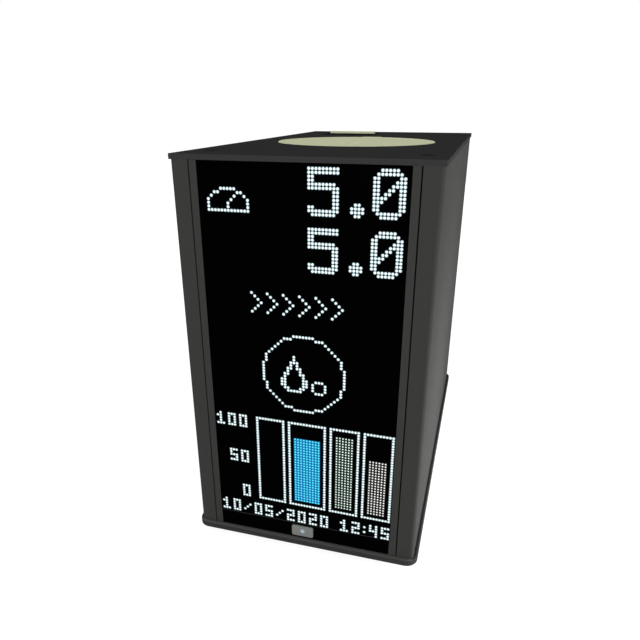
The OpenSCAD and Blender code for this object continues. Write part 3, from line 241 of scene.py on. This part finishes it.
def brushed_relief(tree, grain):
    """Long fine scratches of a brushed sheet, along Y."""
    lines = noise(tree, grain, stretch=(1, 0.01, 1), detail=5.0, rough=0.75)
    return lines, lines


def turned_relief(tree, grain):
    """Tool marks of a turned or drawn piece, around and across its axis."""
    rings = noise(tree, grain, stretch=(0.15, 1, 0.15), detail=3.0, rough=0.6)
    return rings, noise(tree, 60.0, detail=4.0)


def moulded_relief(tree, grain):
    """Spark-eroded texture of a moulded plastic."""
    cells = add_node(
        tree, "ShaderNodeTexVoronoi", {"feature": "SMOOTH_F1"}, Vector=object_place(tree), Scale=grain)
    fine = noise(tree, math_node(tree, "MULTIPLY", grain, 1.7), detail=3.0)
    return weigh(tree, cells.outputs["Distance"], 0.6, fine), noise(tree, 22.0, detail=4.0)


def fibre_relief(tree, grain):
    """Pressed or woven sheet: crossed fibres."""
    along = noise(tree, grain, stretch=(0.06, 1, 1), detail=3.0)
    across = noise(tree, grain, stretch=(1, 1, 0.06), detail=3.0)
    relief = math_node(tree, "MAXIMUM", along, across)
    return relief, relief


# Half of a copper track's share of its pitch, and the noise level above which there are tracks
TRACK_HALF = 0.16
TRACK_LEVEL = 0.54


def track_relief(tree, grain):
    """Copper tracks under a circuit board's green mask, on a fine pitch along X and Z."""
    tracks = None
    for axis, stretch in (("X", (1, 1, 0.08)), ("Z", (0.08, 1, 1))):
        phase = math_node(tree, "FRACT", math_node(tree, "MULTIPLY", object_axis(tree, axis), grain))
        off_middle = math_node(tree, "ABSOLUTE", math_node(tree, "SUBTRACT", phase, 0.5))
        line = math_node(tree, "LESS_THAN", off_middle, TRACK_HALF)
        patch = math_node(tree, "GREATER_THAN", noise(tree, 240.0, stretch=stretch, detail=1.0), TRACK_LEVEL)
        run = math_node(tree, "MULTIPLY", line, patch)
        tracks = run if tracks is None else math_node(tree, "MAXIMUM", tracks, run)
    return tracks, math_node(tree, "MULTIPLY_ADD", tracks, 0.6, 0.3)


def smooth_relief(tree, grain):
    """Polished sheet with faint wipe marks."""
    marks = noise(tree, grain, stretch=(1, 1, 0.3), detail=5.0, rough=0.6)
    return noise(tree, 4.0, detail=1.0), marks


GREY = linear(90, 90, 90)
FINISH_GROUPS = {
    "powder": build_finish("powder_coat", powder_relief, (GREY, 1500.0, 0.00004, 0.6)),
    "extruded": build_finish("anodised_profile", extruded_relief, (GREY, 900.0, 0.00002, 0.45)),
    "brushed": build_finish("brushed_sheet", brushed_relief, (GREY, 900.0, 0.00002, 0.35)),
    "turned": build_finish("turned_metal", turned_relief, (GREY, 1200.0, 0.00002, 0.3)),
    "moulded": build_finish("moulded_plastic", moulded_relief, (GREY, 1800.0, 0.00003, 0.5)),
    "fibre": build_finish("fibre_sheet", fibre_relief, (GREY, 900.0, 0.00003, 0.7)),
    "tracks": build_finish("circuit_tracks", track_relief, (GREY, 787.0, 0.00002, 0.4)),
    "smooth": build_finish("polished_sheet", smooth_relief, (GREY, 40.0, 0.00001, 0.12)),
}


def make_material(name, finish, color, rough, grain=None, depth=None, variation=None, **shader_values):
    """A material: one finish group feeding a shader whose constant values are set on its sockets."""
    material = bpy.data.materials.new(name)
    material.use_nodes = True
    tree = material.node_tree
    shader = tree.nodes["Principled BSDF"]
    group = tree.nodes.new("ShaderNodeGroup")
    group.node_tree = FINISH_GROUPS[finish]
    group.inputs["Color"].default_value = linear(*color)
    group.inputs["Roughness"].default_value = rough
    for socket, value in (("Grain", grain), ("Depth", depth), ("Variation", variation)):
        if value is not None:
            group.inputs[socket].default_value = value
    tree.links.new(group.outputs["Color"], shader.inputs["Base Color"])
    tree.links.new(group.outputs["Roughness"], shader.inputs["Roughness"])
    tree.links.new(group.outputs["Normal"], shader.inputs["Normal"])
    for socket, value in shader_values.items():
        shader.inputs[socket.replace("_", " ")].default_value = value
    return material


# Colours that more than one material uses, as a picture shows them
PALE = (200, 203, 169)
TIN = (186, 186, 184)
PLATE_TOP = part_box("top_plate")[1].z


def plate_material(name):
    """Dark powder coat of the top plate, the base plate and the rear panel."""
    return make_material(name, "powder", (48, 48, 48), 0.85, Specular_IOR_Level=0.0)


def lid_plastic(name, color):
    """Fine-grained plastic of the tank's lid and the cartridge's cap."""
    return make_material(name, "moulded", color, 0.6, 2600.0, 0.00002, 0.03, Specular_IOR_Level=0.0)


MATERIALS = {
    "graphite_profile": make_material("graphite_profile", "extruded", (52, 52, 51), 0.6,
                                      Specular_IOR_Level=0.001),
    "graphite_plate": plate_material("graphite_plate"),
    "black_glass": make_material("black_glass", "smooth", (1, 1, 1), 0.12, Specular_IOR_Level=0.002),
    "pale_plastic": lid_plastic("pale_plastic", PALE),
    "tank_plastic": make_material("tank_plastic", "moulded", (214, 216, 206), 0.5, 1400.0, 0.00002, 0.03,
                                  Subsurface_Weight=0.2, Subsurface_Scale=0.003),
    "black_rubber": make_material("black_rubber", "moulded", (26, 26, 26), 0.85, 2200.0, 0.00005),
    "red_rubber": make_material("red_rubber", "moulded", (122, 48, 34), 0.75, 2200.0, 0.00003),
    "steel_screw": make_material("steel_screw", "turned", (176, 176, 174), 0.32, Metallic=1.0),
    "black_screw": make_material("black_screw", "turned", (32, 32, 32), 0.6, Specular_IOR_Level=0.0),
    "stainless": make_material("stainless", "turned", (178, 178, 174), 0.28, 2400.0, 0.00001, Metallic=1.0),
    "white_plastic": make_material("white_plastic", "moulded", (222, 222, 216), 0.45),
    "black_plastic": make_material("black_plastic", "moulded", (24, 24, 25), 0.5, 1500.0, 0.00004),
    "tinned_metal": make_material("tinned_metal", "brushed", TIN, 0.3, 1500.0, 0.00001, Metallic=1.0),
    "circuit_board": make_material("circuit_board", "tracks", (22, 78, 48), 0.4, variation=0.3),
    "brass": make_material("brass", "turned", (196, 158, 86), 0.28, Metallic=1.0),
    "bare_aluminium": make_material("bare_aluminium", "brushed", (182, 184, 186), 0.36, Metallic=1.0),
    "graphite": make_material("graphite", "fibre", (52, 52, 54), 0.6),
    "membrane": make_material("membrane", "fibre", (172, 108, 52), 0.6),
    "clear_plastic": make_material("clear_plastic", "moulded", (206, 212, 214), 0.35,
                                   Transmission_Weight=0.35),
    "sensor_blue": make_material("sensor_blue", "moulded", (34, 46, 96), 0.45),
    "hose": make_material("hose", "smooth", (228, 228, 222), 0.35, Transmission_Weight=0.25),
    "cable": make_material("cable", "moulded", (18, 18, 18), 0.55, 900.0, 0.00003),
    # Flat grey with no shine: a painted highlight for the lit edge round the strip under the glass
    "painted_edge_highlight": make_material("painted_edge_highlight", "brushed", (58, 58, 58), 0.7, Specular_IOR_Level=0.0),
}


def lit_material(name, core, rim):
    """A lit dot: its attribute `core` runs from 1 in its middle to 0 at its rim."""
    material = bpy.data.materials.new(name)
    material.use_nodes = True
    tree = material.node_tree
    shader = tree.nodes["Principled BSDF"]
    share = add_node(tree, "ShaderNodeAttribute", {"attribute_name": "core"}).outputs["Fac"]
    flicker = noise(tree, 520.0, detail=0.0)
    glow = tint(tree, mix_colors(tree, share, linear(*rim), linear(*core)), flicker, 0.92, 1.06)
    tree.links.new(glow, shader.inputs["Emission Color"])
    shader.inputs["Emission Strength"].default_value = 1.0
    shader.inputs["Base Color"].default_value = linear(8, 8, 8)
    shader.inputs["Roughness"].default_value = 0.3
    shader.inputs["Specular IOR Level"].default_value = 0.05
    return material


def blend_in(material, share, color):
    """Mixes a colour into a material's own colour, by a share from 0 to 1."""
    tree = material.node_tree
    shader = tree.nodes["Principled BSDF"]
    finish = shader.inputs["Base Color"].links[0].from_socket
    tree.links.new(mix_colors(tree, share, finish, linear(*color)), shader.inputs["Base Color"])
    return material


# Colour of the painted highlight along the base's ledge, and its share where that highlight is weakest
LEDGE_HIGHLIGHT_COLOR = (84, 84, 82)
LEDGE_HIGHLIGHT_LEAST = 0.55


def painted_ledge_highlight(material, low, high, front):
    """Painted highlight on the ledge before the cabinet's front, paler in patches, standing in for the
    ledge's edge catching the light.
    """
    tree = material.node_tree
    patches = ramp(tree, noise(tree, 90.0, detail=4.0), 0.0, 1.0, LEDGE_HIGHLIGHT_LEAST, 1.0)
    before = math_node(tree, "LESS_THAN", object_axis(tree, "Y"), front)
    on_top = ramp(tree, object_axis(tree, "Z"), low, high)
    share = math_node(tree, "MULTIPLY", on_top, math_node(tree, "MULTIPLY", patches, before))
    return blend_in(material, share, LEDGE_HIGHLIGHT_COLOR)


# Share of the glow's colour right beside the light
GLOW_SHARE = 0.85


def halo_round(material, middle, inner, outer, color):
    """Plastic that glows round a small light, by its distance from the light's axis along Y."""
    tree = material.node_tree
    offset = vector_node(tree, "SUBTRACT", object_place(tree), middle).outputs["Vector"]
    flat = vector_node(tree, "MULTIPLY", offset, (1, 0, 1)).outputs["Vector"]
    reach = vector_node(tree, "LENGTH", flat).outputs["Value"]
    return blend_in(material, ramp(tree, reach, inner, outer, GLOW_SHARE, 0.0), color)


def lined_material(name, depth, band):
    """A tinned metal shell with a dark plastic body inside it, from a depth along Y inwards."""
    material = make_material(name, "brushed", TIN, 0.3, 1500.0, 0.00001)
    tree = material.node_tree
    inside = ramp(tree, object_axis(tree, "Y"), depth, depth - band)
    shell = math_node(tree, "SUBTRACT", 1.0, inside)
    tree.links.new(shell, tree.nodes["Principled BSDF"].inputs["Metallic"])
    return blend_in(material, inside, (20, 20, 21))


def two_shot_with_painted_shade(name, low_color, split, band):
    """Pale grip above a height, dark below it: the cover's own dark plastic, and painted shade on the grip's
    face where it stands down in the finger well.
    """
    material = lid_plastic(name, low_color)
    tree = material.node_tree
    return blend_in(material, ramp(tree, object_axis(tree, "Z"), split, split + band), PALE)


# Heights and widths over which one finish turns into another on the same piece
CAP_SPLIT_BAND = 0.1 * MM
# Heights over which the painted ledge highlight fades in below the base's top
LEDGE_HIGHLIGHT_STARTS_BELOW, LEDGE_HIGHLIGHT_FULL_BELOW = 0.7 * MM, 0.1 * MM
GLOW_INNER, GLOW_OUTER = 0.9 * MM, 1.9 * MM
SHELL_LIP = 0.2 * MM

base_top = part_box("base_plate")[1].z
light_low, light_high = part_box("button_light")
# Below the plate's top, the grip's face is painted dark as the shade in the finger well
MATERIALS["cap_plastic"] = two_shot_with_painted_shade(
    "cap_plastic", (30, 30, 30), PLATE_TOP + CAP_SPLIT_BAND, CAP_SPLIT_BAND)
# The base plate's ledge carries a painted highlight
MATERIALS["plate_with_ledge_highlight"] = painted_ledge_highlight(
    plate_material("plate_with_ledge_highlight"),
    base_top - LEDGE_HIGHLIGHT_STARTS_BELOW, base_top - LEDGE_HIGHLIGHT_FULL_BELOW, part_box("display_glass")[0].y)
MATERIALS["lit_button"] = halo_round(
    make_material("lit_button", "moulded", (108, 110, 107), 0.55, Specular_IOR_Level=0.1),
    (light_low + light_high) / 2, GLOW_INNER, GLOW_OUTER, (150, 176, 188))
MATERIALS["jack_shell"] = lined_material("jack_shell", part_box("network_jack")[1].y - SHELL_LIP, SHELL_LIP)
MATERIALS["blue_light"] = make_material(
    "blue_light", "smooth", (120, 140, 150), 0.2,
    Emission_Color=linear(218, 237, 249), Emission_Strength=0.25)


OWN_FINISH = {
    "cartridge_cap": "cap_plastic",
    "base_plate": "plate_with_ledge_highlight",
    "push_button": "lit_button",
    "network_jack": "jack_shell",
    "usb_port": "jack_shell",
}


def dress_nodes():
    """Each CAD node gets its own finish, or else the material of its slot in the record."""
    for part in frame["record"]["subparts"]:
        item = frame["nodes"][part["node"]]
        item.data.materials.clear()
        item.data.materials.append(MATERIALS[OWN_FINISH.get(part["node"], part["material_slot"])])


# Display

glass_low, glass_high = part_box("display_glass")
COLUMNS = 60
# Share of the glass's width that the columns fill, and how far right of its middle they sit
PICTURE_SHARE = 0.9865
PICTURE_OFFSET = 0.48 * MM
DOT_STEP_X = (glass_high.x - glass_low.x) * PICTURE_SHARE / COLUMNS
DOT_STEP_Z = 1.925 * MM
FIRST_COLUMN_X = (glass_low.x + glass_high.x) / 2 + PICTURE_OFFSET - (COLUMNS - 1) / 2 * DOT_STEP_X
FIRST_ROW_Z = glass_low.z + 1.1 * MM
# The picture is stretched a little up and down and leans by a hair, to match the photograph
ROW_DRIFT = 0.86 * MM
DRIFT_SPAN = 240 * MM
DRIFT_MIDDLE = 130 * MM
ROW_LEAN = 0.0132
LEAN_EVENS_AT = 220 * MM
DOT_RADIUS = {"white": 0.9 * MM, "blue": 0.62 * MM, "green": 0.58 * MM, "pale": 0.6 * MM}
DOT_SIDES = 10
# Share of a dot's radius that its darker rim takes
DOT_RIM = 0.3
DOT_PROUD = 0.12 * MM
FIELD_PROUD = 0.03 * MM
# How much wider a ground is than the span of its dots' middles, in dot steps
FIELD_MARGIN = 0.9

BIG_GLYPHS = {
    "5": ("#########", "#########", "##.......", "##.......", "########.", "#########", ".......##",
          ".......##", ".......##", ".......##", "##.....##", "#########", ".#######."),
    "0": ("..#####..", ".#######.", "##.....##", "##....###", "##...####", "##..##.##", "##.##..##",
          "####...##", "###....##", "##.....##", "##.....##", ".#######.", "..#####.."),
    ".": (".##.", "####", "####", ".##."),
}
SMALL_GLYPHS = {
    "0": ("###", "#.#", "#.#", "#.#", "###"),
    "1": (".#.", "##.", ".#.", ".#.", "###"),
    "2": ("###", "..#", "###", "#..", "###"),
    "3": ("###", "..#", ".##", "..#", "###"),
    "4": ("#.#", "#.#", "###", "..#", "..#"),
    "5": ("###", "#..", "###", "..#", "###"),
    "/": ("...", "..#", ".#.", "#..", "..."),
    ":": (".", "#", ".", "#", "."),
}
GAUGE_SIGN = ("....#####....", "..##.....##..", ".#......#..#.", "#......#....#", "#.....#.....#",
              "#.....#.....#", "#############")
CHEVRON = ("#...", ".#..", "..#.", "...#", "..#.", ".#..", "#...")
DROP_SIGN = ("....#....", "....#....", "...###...", "...#.#...", "..##.##..", "..#...#..", ".##...##.",
             ".#.....#.", "##.....##", "##.....##", "##.....##", ".##...##.", "..#####..")
BUBBLE_SIGN = (".###.", "#...#", "#...#", "#...#", ".###.")
SPACE_COLUMNS = 3


def stamp(glyph, column, row):
    """The grid places of a glyph's dots, its lower left dot at column and row."""
    tall = len(glyph)
    return {
        (column + i, row + tall - 1 - j)
        for j, line in enumerate(glyph)
        for i, mark in enumerate(line)
        if mark == "#"
    }


def small_number(text, column, row):
    """The dots of a number in the small figures, each a column apart."""
    dots = set()
    for mark in text:
        if mark == " ":
            column += SPACE_COLUMNS
            continue
        dots |= stamp(SMALL_GLYPHS[mark], column, row)
        column += len(SMALL_GLYPHS[mark][0]) + 1
    return dots


def open_box(first, last, low, high):
    """The dots of a rectangle's outline."""
    across = {(c, r) for c in range(first, last + 1) for r in (low, high)}
    return across | {(c, r) for c in (first, last) for r in range(low, high + 1)}


def ring(column, row, steps):
    """The dots of a ring, from the heights of one eighth of it."""
    dots = set()
    for i, height in enumerate(steps):
        for a, b in ((i, height), (height, i)):
            dots |= {(column + sx * a, row + sy * b) for sx in (-1, 1) for sy in (-1, 1)}
    return dots


RING_STEPS = (13, 13, 13, 13, 12, 12, 12, 11, 10, 9)
CHEVRONS, CHEVRON_STEP = 6, 5
BIG_ROWS = (91, 107)
GAUGE_FIRST, GAUGE_LAST = 7, 39
FILL_FIRST = 9
# First and last column of a gauge and of its fill, and the fill's top row
GAUGES = {
    "empty": (14, 23, 0, 0, 0),
    "blue": (25, 37, 27, 35, 33),
    "green": (39, 48, 41, 46, 36),
    "pale": (50, 59, 52, 57, 29),
}


def display_picture():
    """The lit dots by colour, as sets of (column, row). A sign is placed by its lower left dot."""
    white = small_number("10/05/2020 12:45", 0, 0)
    white |= small_number("0", 8, 7) | small_number("50", 4, 21) | small_number("100", 0, 35)
    white |= ring(30, 57, RING_STEPS)
    white |= stamp(DROP_SIGN, 23, 51) | stamp(BUBBLE_SIGN, 33, 51)
    for i in range(CHEVRONS):
        white |= stamp(CHEVRON, 14 + CHEVRON_STEP * i, 77)
    white |= stamp(GAUGE_SIGN, 2, BIG_ROWS[1])
    for row in BIG_ROWS:
        white |= stamp(BIG_GLYPHS["5"], 32, row) | stamp(BIG_GLYPHS["."], 44, row)
        white |= stamp(BIG_GLYPHS["0"], 50, row)
    picture = {}
    for name, (first, last, fill_first, fill_last, top) in GAUGES.items():
        white |= open_box(first, last, GAUGE_FIRST, GAUGE_LAST)
        if top:
            picture[name] = {
                (c, r) for c in range(fill_first, fill_last + 1) for r in range(FILL_FIRST, top + 1)
            }
    picture["white"] = white
    return picture


def dot_place(column, row):
    """The middle of a dot on the glass's front face."""
    x = FIRST_COLUMN_X + column * DOT_STEP_X
    z = FIRST_ROW_Z + row * DOT_STEP_Z
    drift = ROW_DRIFT * math.sin(math.tau * (z - DRIFT_MIDDLE) / DRIFT_SPAN)
    lean = ROW_LEAN * x * (1 - z / LEAN_EVENS_AT)
    return Vector((x, glass_low.y, z - drift - lean))


# Turns what is drawn in the XY plane to face -Y
FACE_FRONT = Matrix.Rotation(math.pi / 2, 4, "X")


def mesh_piece(name, work, material, body="cabinet"):
    """A finished piece from a bmesh, riding on a body, with the slot that its finish comes from."""
    mesh = bpy.data.meshes.new(name)
    work.to_mesh(mesh)
    work.free()
    mesh.materials.append(material)
    piece = bpy.data.objects.new(name, mesh)
    bpy.context.scene.collection.objects.link(piece)
    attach(piece, body)
    return piece


def front_sheet(wide, tall, middle):
    """A flat rectangle that faces -Y."""
    work = bmesh.new()
    bmesh.ops.create_grid(work, x_segments=1, y_segments=1, size=0.5, matrix=FACE_FRONT)
    bmesh.ops.scale(work, vec=(wide, 1, tall), verts=work.verts)
    bmesh.ops.translate(work, vec=middle, verts=work.verts)
    return work


def lens_dot(radius):
    """One dot's lens: a low dome that faces -Y, with its `core` value."""
    work = bmesh.new()
    core = work.verts.layers.float.new("core")
    bmesh.ops.create_circle(work, cap_ends=True, radius=radius, segments=DOT_SIDES, matrix=FACE_FRONT)
    bmesh.ops.inset_region(work, faces=work.faces[:], thickness=radius * DOT_RIM, use_boundary=True)
    for v in work.verts:
        in_middle = v.co.length < radius * (1 - DOT_RIM / 2)
        v[core] = 1.0 if in_middle else 0.0
        v.co.y = -DOT_PROUD if in_middle else -2 * FIELD_PROUD
    return work


def dot_field(name, places, radius, material):
    """All the dots of one colour as one piece."""
    pattern = bpy.data.meshes.new("pattern")
    single = lens_dot(radius)
    single.to_mesh(pattern)
    single.free()
    work = bmesh.new()
    for place in sorted(places):
        count = len(work.verts)
        work.from_mesh(pattern)
        work.verts.ensure_lookup_table()
        bmesh.ops.translate(work, verts=work.verts[count:], vec=dot_place(*place))
    bpy.data.meshes.remove(pattern)
    return mesh_piece(name, work, material)


def backlit_field(name, places, material):
    """The lit ground behind a filled gauge."""
    low = dot_place(min(c for c, r in places), min(r for c, r in places))
    high = dot_place(max(c for c, r in places), max(r for c, r in places))
    wide = high.x - low.x + DOT_STEP_X * FIELD_MARGIN
    tall = high.z - low.z + DOT_STEP_Z * FIELD_MARGIN
    work = front_sheet(wide, tall, (low + high) / 2 - Vector((0, FIELD_PROUD, 0)))
    return mesh_piece(name, work, material)


def add_display():
    """The lit dots and, behind the filled gauges, their grounds."""
    lights = {
        "white": lit_material("white_dots", (250, 255, 255), (165, 225, 238)),
        "blue": lit_material("blue_dots", (110, 255, 255), (0, 160, 220)),
        "green": lit_material("green_dots", (250, 255, 255), (70, 140, 100)),
        "pale": lit_material("pale_dots", (255, 255, 252), (128, 128, 118)),
    }
    grounds = {
        "blue": lit_material("blue_ground", (0, 122, 190), (0, 122, 190)),
        "green": lit_material("green_ground", (0, 34, 14), (0, 34, 14)),
        "pale": lit_material("pale_ground", (17, 19, 13), (17, 19, 13)),
    }
    for name, places in display_picture().items():
        dot_field(f"display_dots_{name}", places, DOT_RADIUS[name], lights[name])
        if name in grounds:
            backlit_field(f"display_ground_{name}", places, grounds[name])


# Small pieces

REAR_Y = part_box("rear_panel")[1].y

# Size of the rim that carries the painted edge highlight
LIP_PROUD = 0.01 * MM
LIP_WIDTH = 0.35 * MM
LIP_BEVEL = 0.08 * MM
LIP_RISE = 0.04 * MM


def add_panel_edge_highlight():
    """A thin raised rim round the strip under the glass, in flat grey with no shine: a painted highlight of
    the strip's lit edge.
    """
    low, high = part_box("lower_panel")
    middle = Vector((0, low.y - LIP_PROUD, (low.z + high.z) / 2))
    work = front_sheet(high.x - low.x, high.z - low.z, middle)
    rim = bmesh.ops.inset_region(work, faces=work.faces[:], thickness=LIP_WIDTH, use_boundary=True)["faces"]
    bmesh.ops.delete(work, geom=[f for f in work.faces if f not in rim], context="FACES")
    bmesh.ops.inset_region(work, faces=work.faces[:], thickness=LIP_BEVEL, depth=LIP_RISE, use_boundary=True)
    mesh_piece("lower_panel_edge_highlight", work, MATERIALS["painted_edge_highlight"])


THREAD_PITCH = 1.0 * MM
THREAD_ROOT = 4.9 * MM
THREAD_CREST = 5.35 * MM
THREAD_START = 4.9 * MM
THREAD_TURNS = 6
THREAD_STEPS = 28 * THREAD_TURNS
# One turn's outline, as reach from the axis and share of the pitch
THREAD_OUTLINE = ((THREAD_ROOT, 0), (THREAD_CREST, 0.4), (THREAD_CREST, 0.6), (THREAD_ROOT, 1))


def add_outlet_thread():
    """The thread that shows between the hydrogen outlet's panel nut and its gas nut."""
    low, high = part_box("outlet_nuts")
    middle = Vector(((low.x + high.x) / 2, 0, (low.z + high.z) / 2))
    start = REAR_Y + THREAD_START
    work = bmesh.new()
    line = [work.verts.new(middle + Vector((reach, start + along * THREAD_PITCH, 0)))
            for reach, along in THREAD_OUTLINE]
    edges = [work.edges.new(pair) for pair in zip(line, line[1:])]
    bmesh.ops.spin(work, geom=line + edges, cent=middle, axis=(0, 1, 0), angle=math.tau * THREAD_TURNS,
                   steps=THREAD_STEPS, dvec=(0, THREAD_PITCH * THREAD_TURNS / THREAD_STEPS, 0))
    bmesh.ops.remove_doubles(work, verts=work.verts, dist=0.01 * MM)
    bmesh.ops.recalc_face_normals(work, faces=work.faces)
    mesh_piece("outlet_thread", work, MATERIALS["stainless"])


JACK_CONTACTS, JACK_PITCH = 8, 1.02 * MM
JACK_CONTACT_WIDE, JACK_CONTACT_THICK = 0.45 * MM, 0.2 * MM
# Height of a contact's root above the jack's underside, and its bends as depth and drop from there
JACK_CONTACT_TOP = 10.1 * MM
JACK_BENDS = ((1.0 * MM, 0), (2.2 * MM, 0.5 * MM), (7.0 * MM, 3.6 * MM), (8.4 * MM, 3.9 * MM),
              (11.8 * MM, 3.2 * MM))
USB_CONTACT_WIDE, USB_CONTACT_THICK = 1.0 * MM, 0.08 * MM
USB_ACROSS = (-1.25 * MM, 1.25 * MM)
USB_HEIGHTS = (4.05 * MM, 7.15 * MM)
USB_DEPTHS = (11.5 * MM, 3.0 * MM, 1.6 * MM)


def bent_strip(work, x, wide, path):
    """A flat contact of a width, drawn along points in the YZ plane."""
    strip = [[work.verts.new((x + side * wide / 2, y, z)) for side in (-1, 1)] for y, z in path]
    first = bmesh.ops.contextual_create(work, geom=strip[0])["edges"]
    for row in strip[1:]:
        second = bmesh.ops.contextual_create(work, geom=row)["edges"]
        bmesh.ops.bridge_loops(work, edges=first + second)
        first = second


def add_contacts():
    """The sprung contacts in the network jack, and the flat ones on the USB port's tongue."""
    low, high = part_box("network_jack")
    middle = (low.x + high.x) / 2
    top = low.z + JACK_CONTACT_TOP
    path = [(REAR_Y - depth, top - drop) for depth, drop in JACK_BENDS]
    work = bmesh.new()
    for i in range(JACK_CONTACTS):
        x = middle + (i - (JACK_CONTACTS - 1) / 2) * JACK_PITCH
        bent_strip(work, x, JACK_CONTACT_WIDE, path)
    bmesh.ops.solidify(work, geom=work.faces[:], thickness=JACK_CONTACT_THICK)
    mesh_piece("jack_contacts", work, MATERIALS["brass"])
    low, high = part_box("usb_port")
    middle = (low.x + high.x) / 2
    work = bmesh.new()
    for across in USB_ACROSS:
        for height in USB_HEIGHTS:
            path = [(REAR_Y - depth, low.z + height) for depth in USB_DEPTHS]
            bent_strip(work, middle + across, USB_CONTACT_WIDE, path)
    bmesh.ops.solidify(work, geom=work.faces[:], thickness=USB_CONTACT_THICK)
    mesh_piece("usb_contacts", work, MATERIALS["brass"])


ROCKER_TURN = math.radians(-12)
ROCKER_LEAN = math.atan2(2.0, 8.0)
ROCKER_FACE = Vector((0, 3.2 * MM, 4.0 * MM))
ROCKER_PIVOT_OUT, ROCKER_PIVOT_Z = 0.6 * MM, 32.0 * MM
BAR_WIDE, BAR_TALL = 0.6 * MM, 3.6 * MM
RING_RADIUS, RING_WIDE, RING_SIDES = 1.9 * MM, 0.5 * MM, 32
MARK_THICK = 0.06 * MM


def rocker_face(side):
    """The place of a mark on the rocker: side is 1 on the upper face and -1 on the lower."""
    low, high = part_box("power_rocker")
    pivot = Vector(((low.x + high.x) / 2, REAR_Y + ROCKER_PIVOT_OUT, ROCKER_PIVOT_Z))
    place = Vector((0, ROCKER_FACE.y, ROCKER_FACE.z * side))
    face = Matrix.Translation(place) @ Matrix.Rotation(-math.pi / 2 - ROCKER_LEAN * side, 4, "X")
    return Matrix.Translation(pivot) @ Matrix.Rotation(ROCKER_TURN, 4, "X") @ face


def add_rocker_marks():
    """The printed bar and ring on the power switch."""
    work = bmesh.new()
    bar = bmesh.ops.create_grid(work, x_segments=1, y_segments=1, size=0.5)["verts"]
    bmesh.ops.scale(work, vec=(BAR_WIDE, BAR_TALL, 1), verts=bar)
    bmesh.ops.transform(work, matrix=rocker_face(1), verts=bar)
    bmesh.ops.create_circle(work, cap_ends=True, radius=RING_RADIUS, segments=RING_SIDES)
    faces = [f for f in work.faces if len(f.verts) == RING_SIDES]
    bmesh.ops.inset_region(work, faces=faces, thickness=RING_WIDE, use_boundary=True)
    bmesh.ops.delete(work, geom=faces, context="FACES_ONLY")
    ring_verts = [v for v in work.verts if v not in bar]
    bmesh.ops.transform(work, matrix=rocker_face(-1), verts=ring_verts)
    bmesh.ops.solidify(work, geom=work.faces[:], thickness=-MARK_THICK)
    bmesh.ops.recalc_face_normals(work, faces=work.faces)
    mesh_piece("rocker_marks", work, MATERIALS["white_plastic"], "rocker")


# Studio

FLOOR_REACH = 30.0
FLOOR_SIDES = 64
CAMERA_WHITE = 1.0
ROOM_LEVEL = 0.5
FLOOR_SHARE = 0.72
FLOOR_WHITE = 1.21
LAMP_AIM = Vector((0, 0, 0.13))
# Place in metres, side in metres and power in watts of each lamp
LAMPS = {
    "front_lamp": ((0.5, -1.6, 0.45), 1.8, 27),
    "rear_lamp": ((-0.5, 1.6, 0.6), 2.0, 14),
    "right_lamp": ((0.3, -0.08, 0.02), 0.1, 2.4),
    "left_lamp": ((-1.1, 0.1, 0.35), 1.0, 6),
}


def seen_ray(tree):
    """1 for a ray from the camera, or one reflected or let through by a surface."""
    path = add_node(tree, "ShaderNodeLightPath")
    shown = math_node(tree, "MAXIMUM", path.outputs["Is Camera Ray"], path.outputs["Is Glossy Ray"])
    return math_node(tree, "MAXIMUM", shown, path.outputs["Is Transmission Ray"])


def add_room():
    """A white surrounding that the camera sees in full and that lights the object less."""
    world = bpy.data.worlds.new("studio")
    world.use_nodes = True
    tree = world.node_tree
    background = tree.nodes["Background"]
    background.inputs["Color"].default_value = (1, 1, 1, 1)
    level = add_node(tree, "ShaderNodeMapRange", None, Value=seen_ray(tree))
    level.inputs["To Min"].default_value = ROOM_LEVEL
    level.inputs["To Max"].default_value = CAMERA_WHITE
    tree.links.new(level.outputs[0], background.inputs["Strength"])
    bpy.context.scene.world = world


def add_floor():
    """A plain pale floor that runs into the white background."""
    material = bpy.data.materials.new("studio_floor")
    material.use_nodes = True
    tree = material.node_tree
    shader = tree.nodes["Principled BSDF"]
    shader.inputs["Base Color"].default_value = linear(250, 250, 250)
    shader.inputs["Roughness"].default_value = 0.9
    shader.inputs["Specular IOR Level"].default_value = 0.1
    white = add_node(tree, "ShaderNodeEmission", None, Strength=FLOOR_WHITE)
    share = math_node(tree, "MULTIPLY", seen_ray(tree), FLOOR_SHARE)
    mix = add_node(tree, "ShaderNodeMixShader", None, i0=share, i1=shader.outputs[0], i2=white.outputs[0])
    tree.links.new(mix.outputs[0], tree.nodes["Material Output"].inputs["Surface"])
    work = bmesh.new()
    bmesh.ops.create_circle(work, cap_ends=True, radius=FLOOR_REACH, segments=FLOOR_SIDES)
    mesh = bpy.data.meshes.new("studio_floor")
    work.to_mesh(mesh)
    work.free()
    mesh.materials.append(material)
    floor = bpy.data.objects.new("studio_floor", mesh)
    bpy.context.scene.collection.objects.link(floor)


def add_lamp(name, place, side, power):
    """A square soft lamp aimed at the cabinet's middle."""
    data = bpy.data.lights.new(name, "AREA")
    data.shape = "SQUARE"
    data.size = side
    data.energy = power
    lamp = bpy.data.objects.new(name, data)
    lamp.location = place
    lamp.rotation_euler = (LAMP_AIM - Vector(place)).to_track_quat("-Z", "Y").to_euler()
    lamp.visible_camera = False
    bpy.context.scene.collection.objects.link(lamp)


add_camera()
dress_nodes()
add_display()
add_panel_edge_highlight()
add_outlet_thread()
add_contacts()
add_rocker_marks()
add_room()
add_floor()
for lamp_name, (lamp_place, lamp_side, lamp_power) in LAMPS.items():
    add_lamp(lamp_name, lamp_place, lamp_side, lamp_power)
bpy.context.scene.view_settings.view_transform = "Standard"
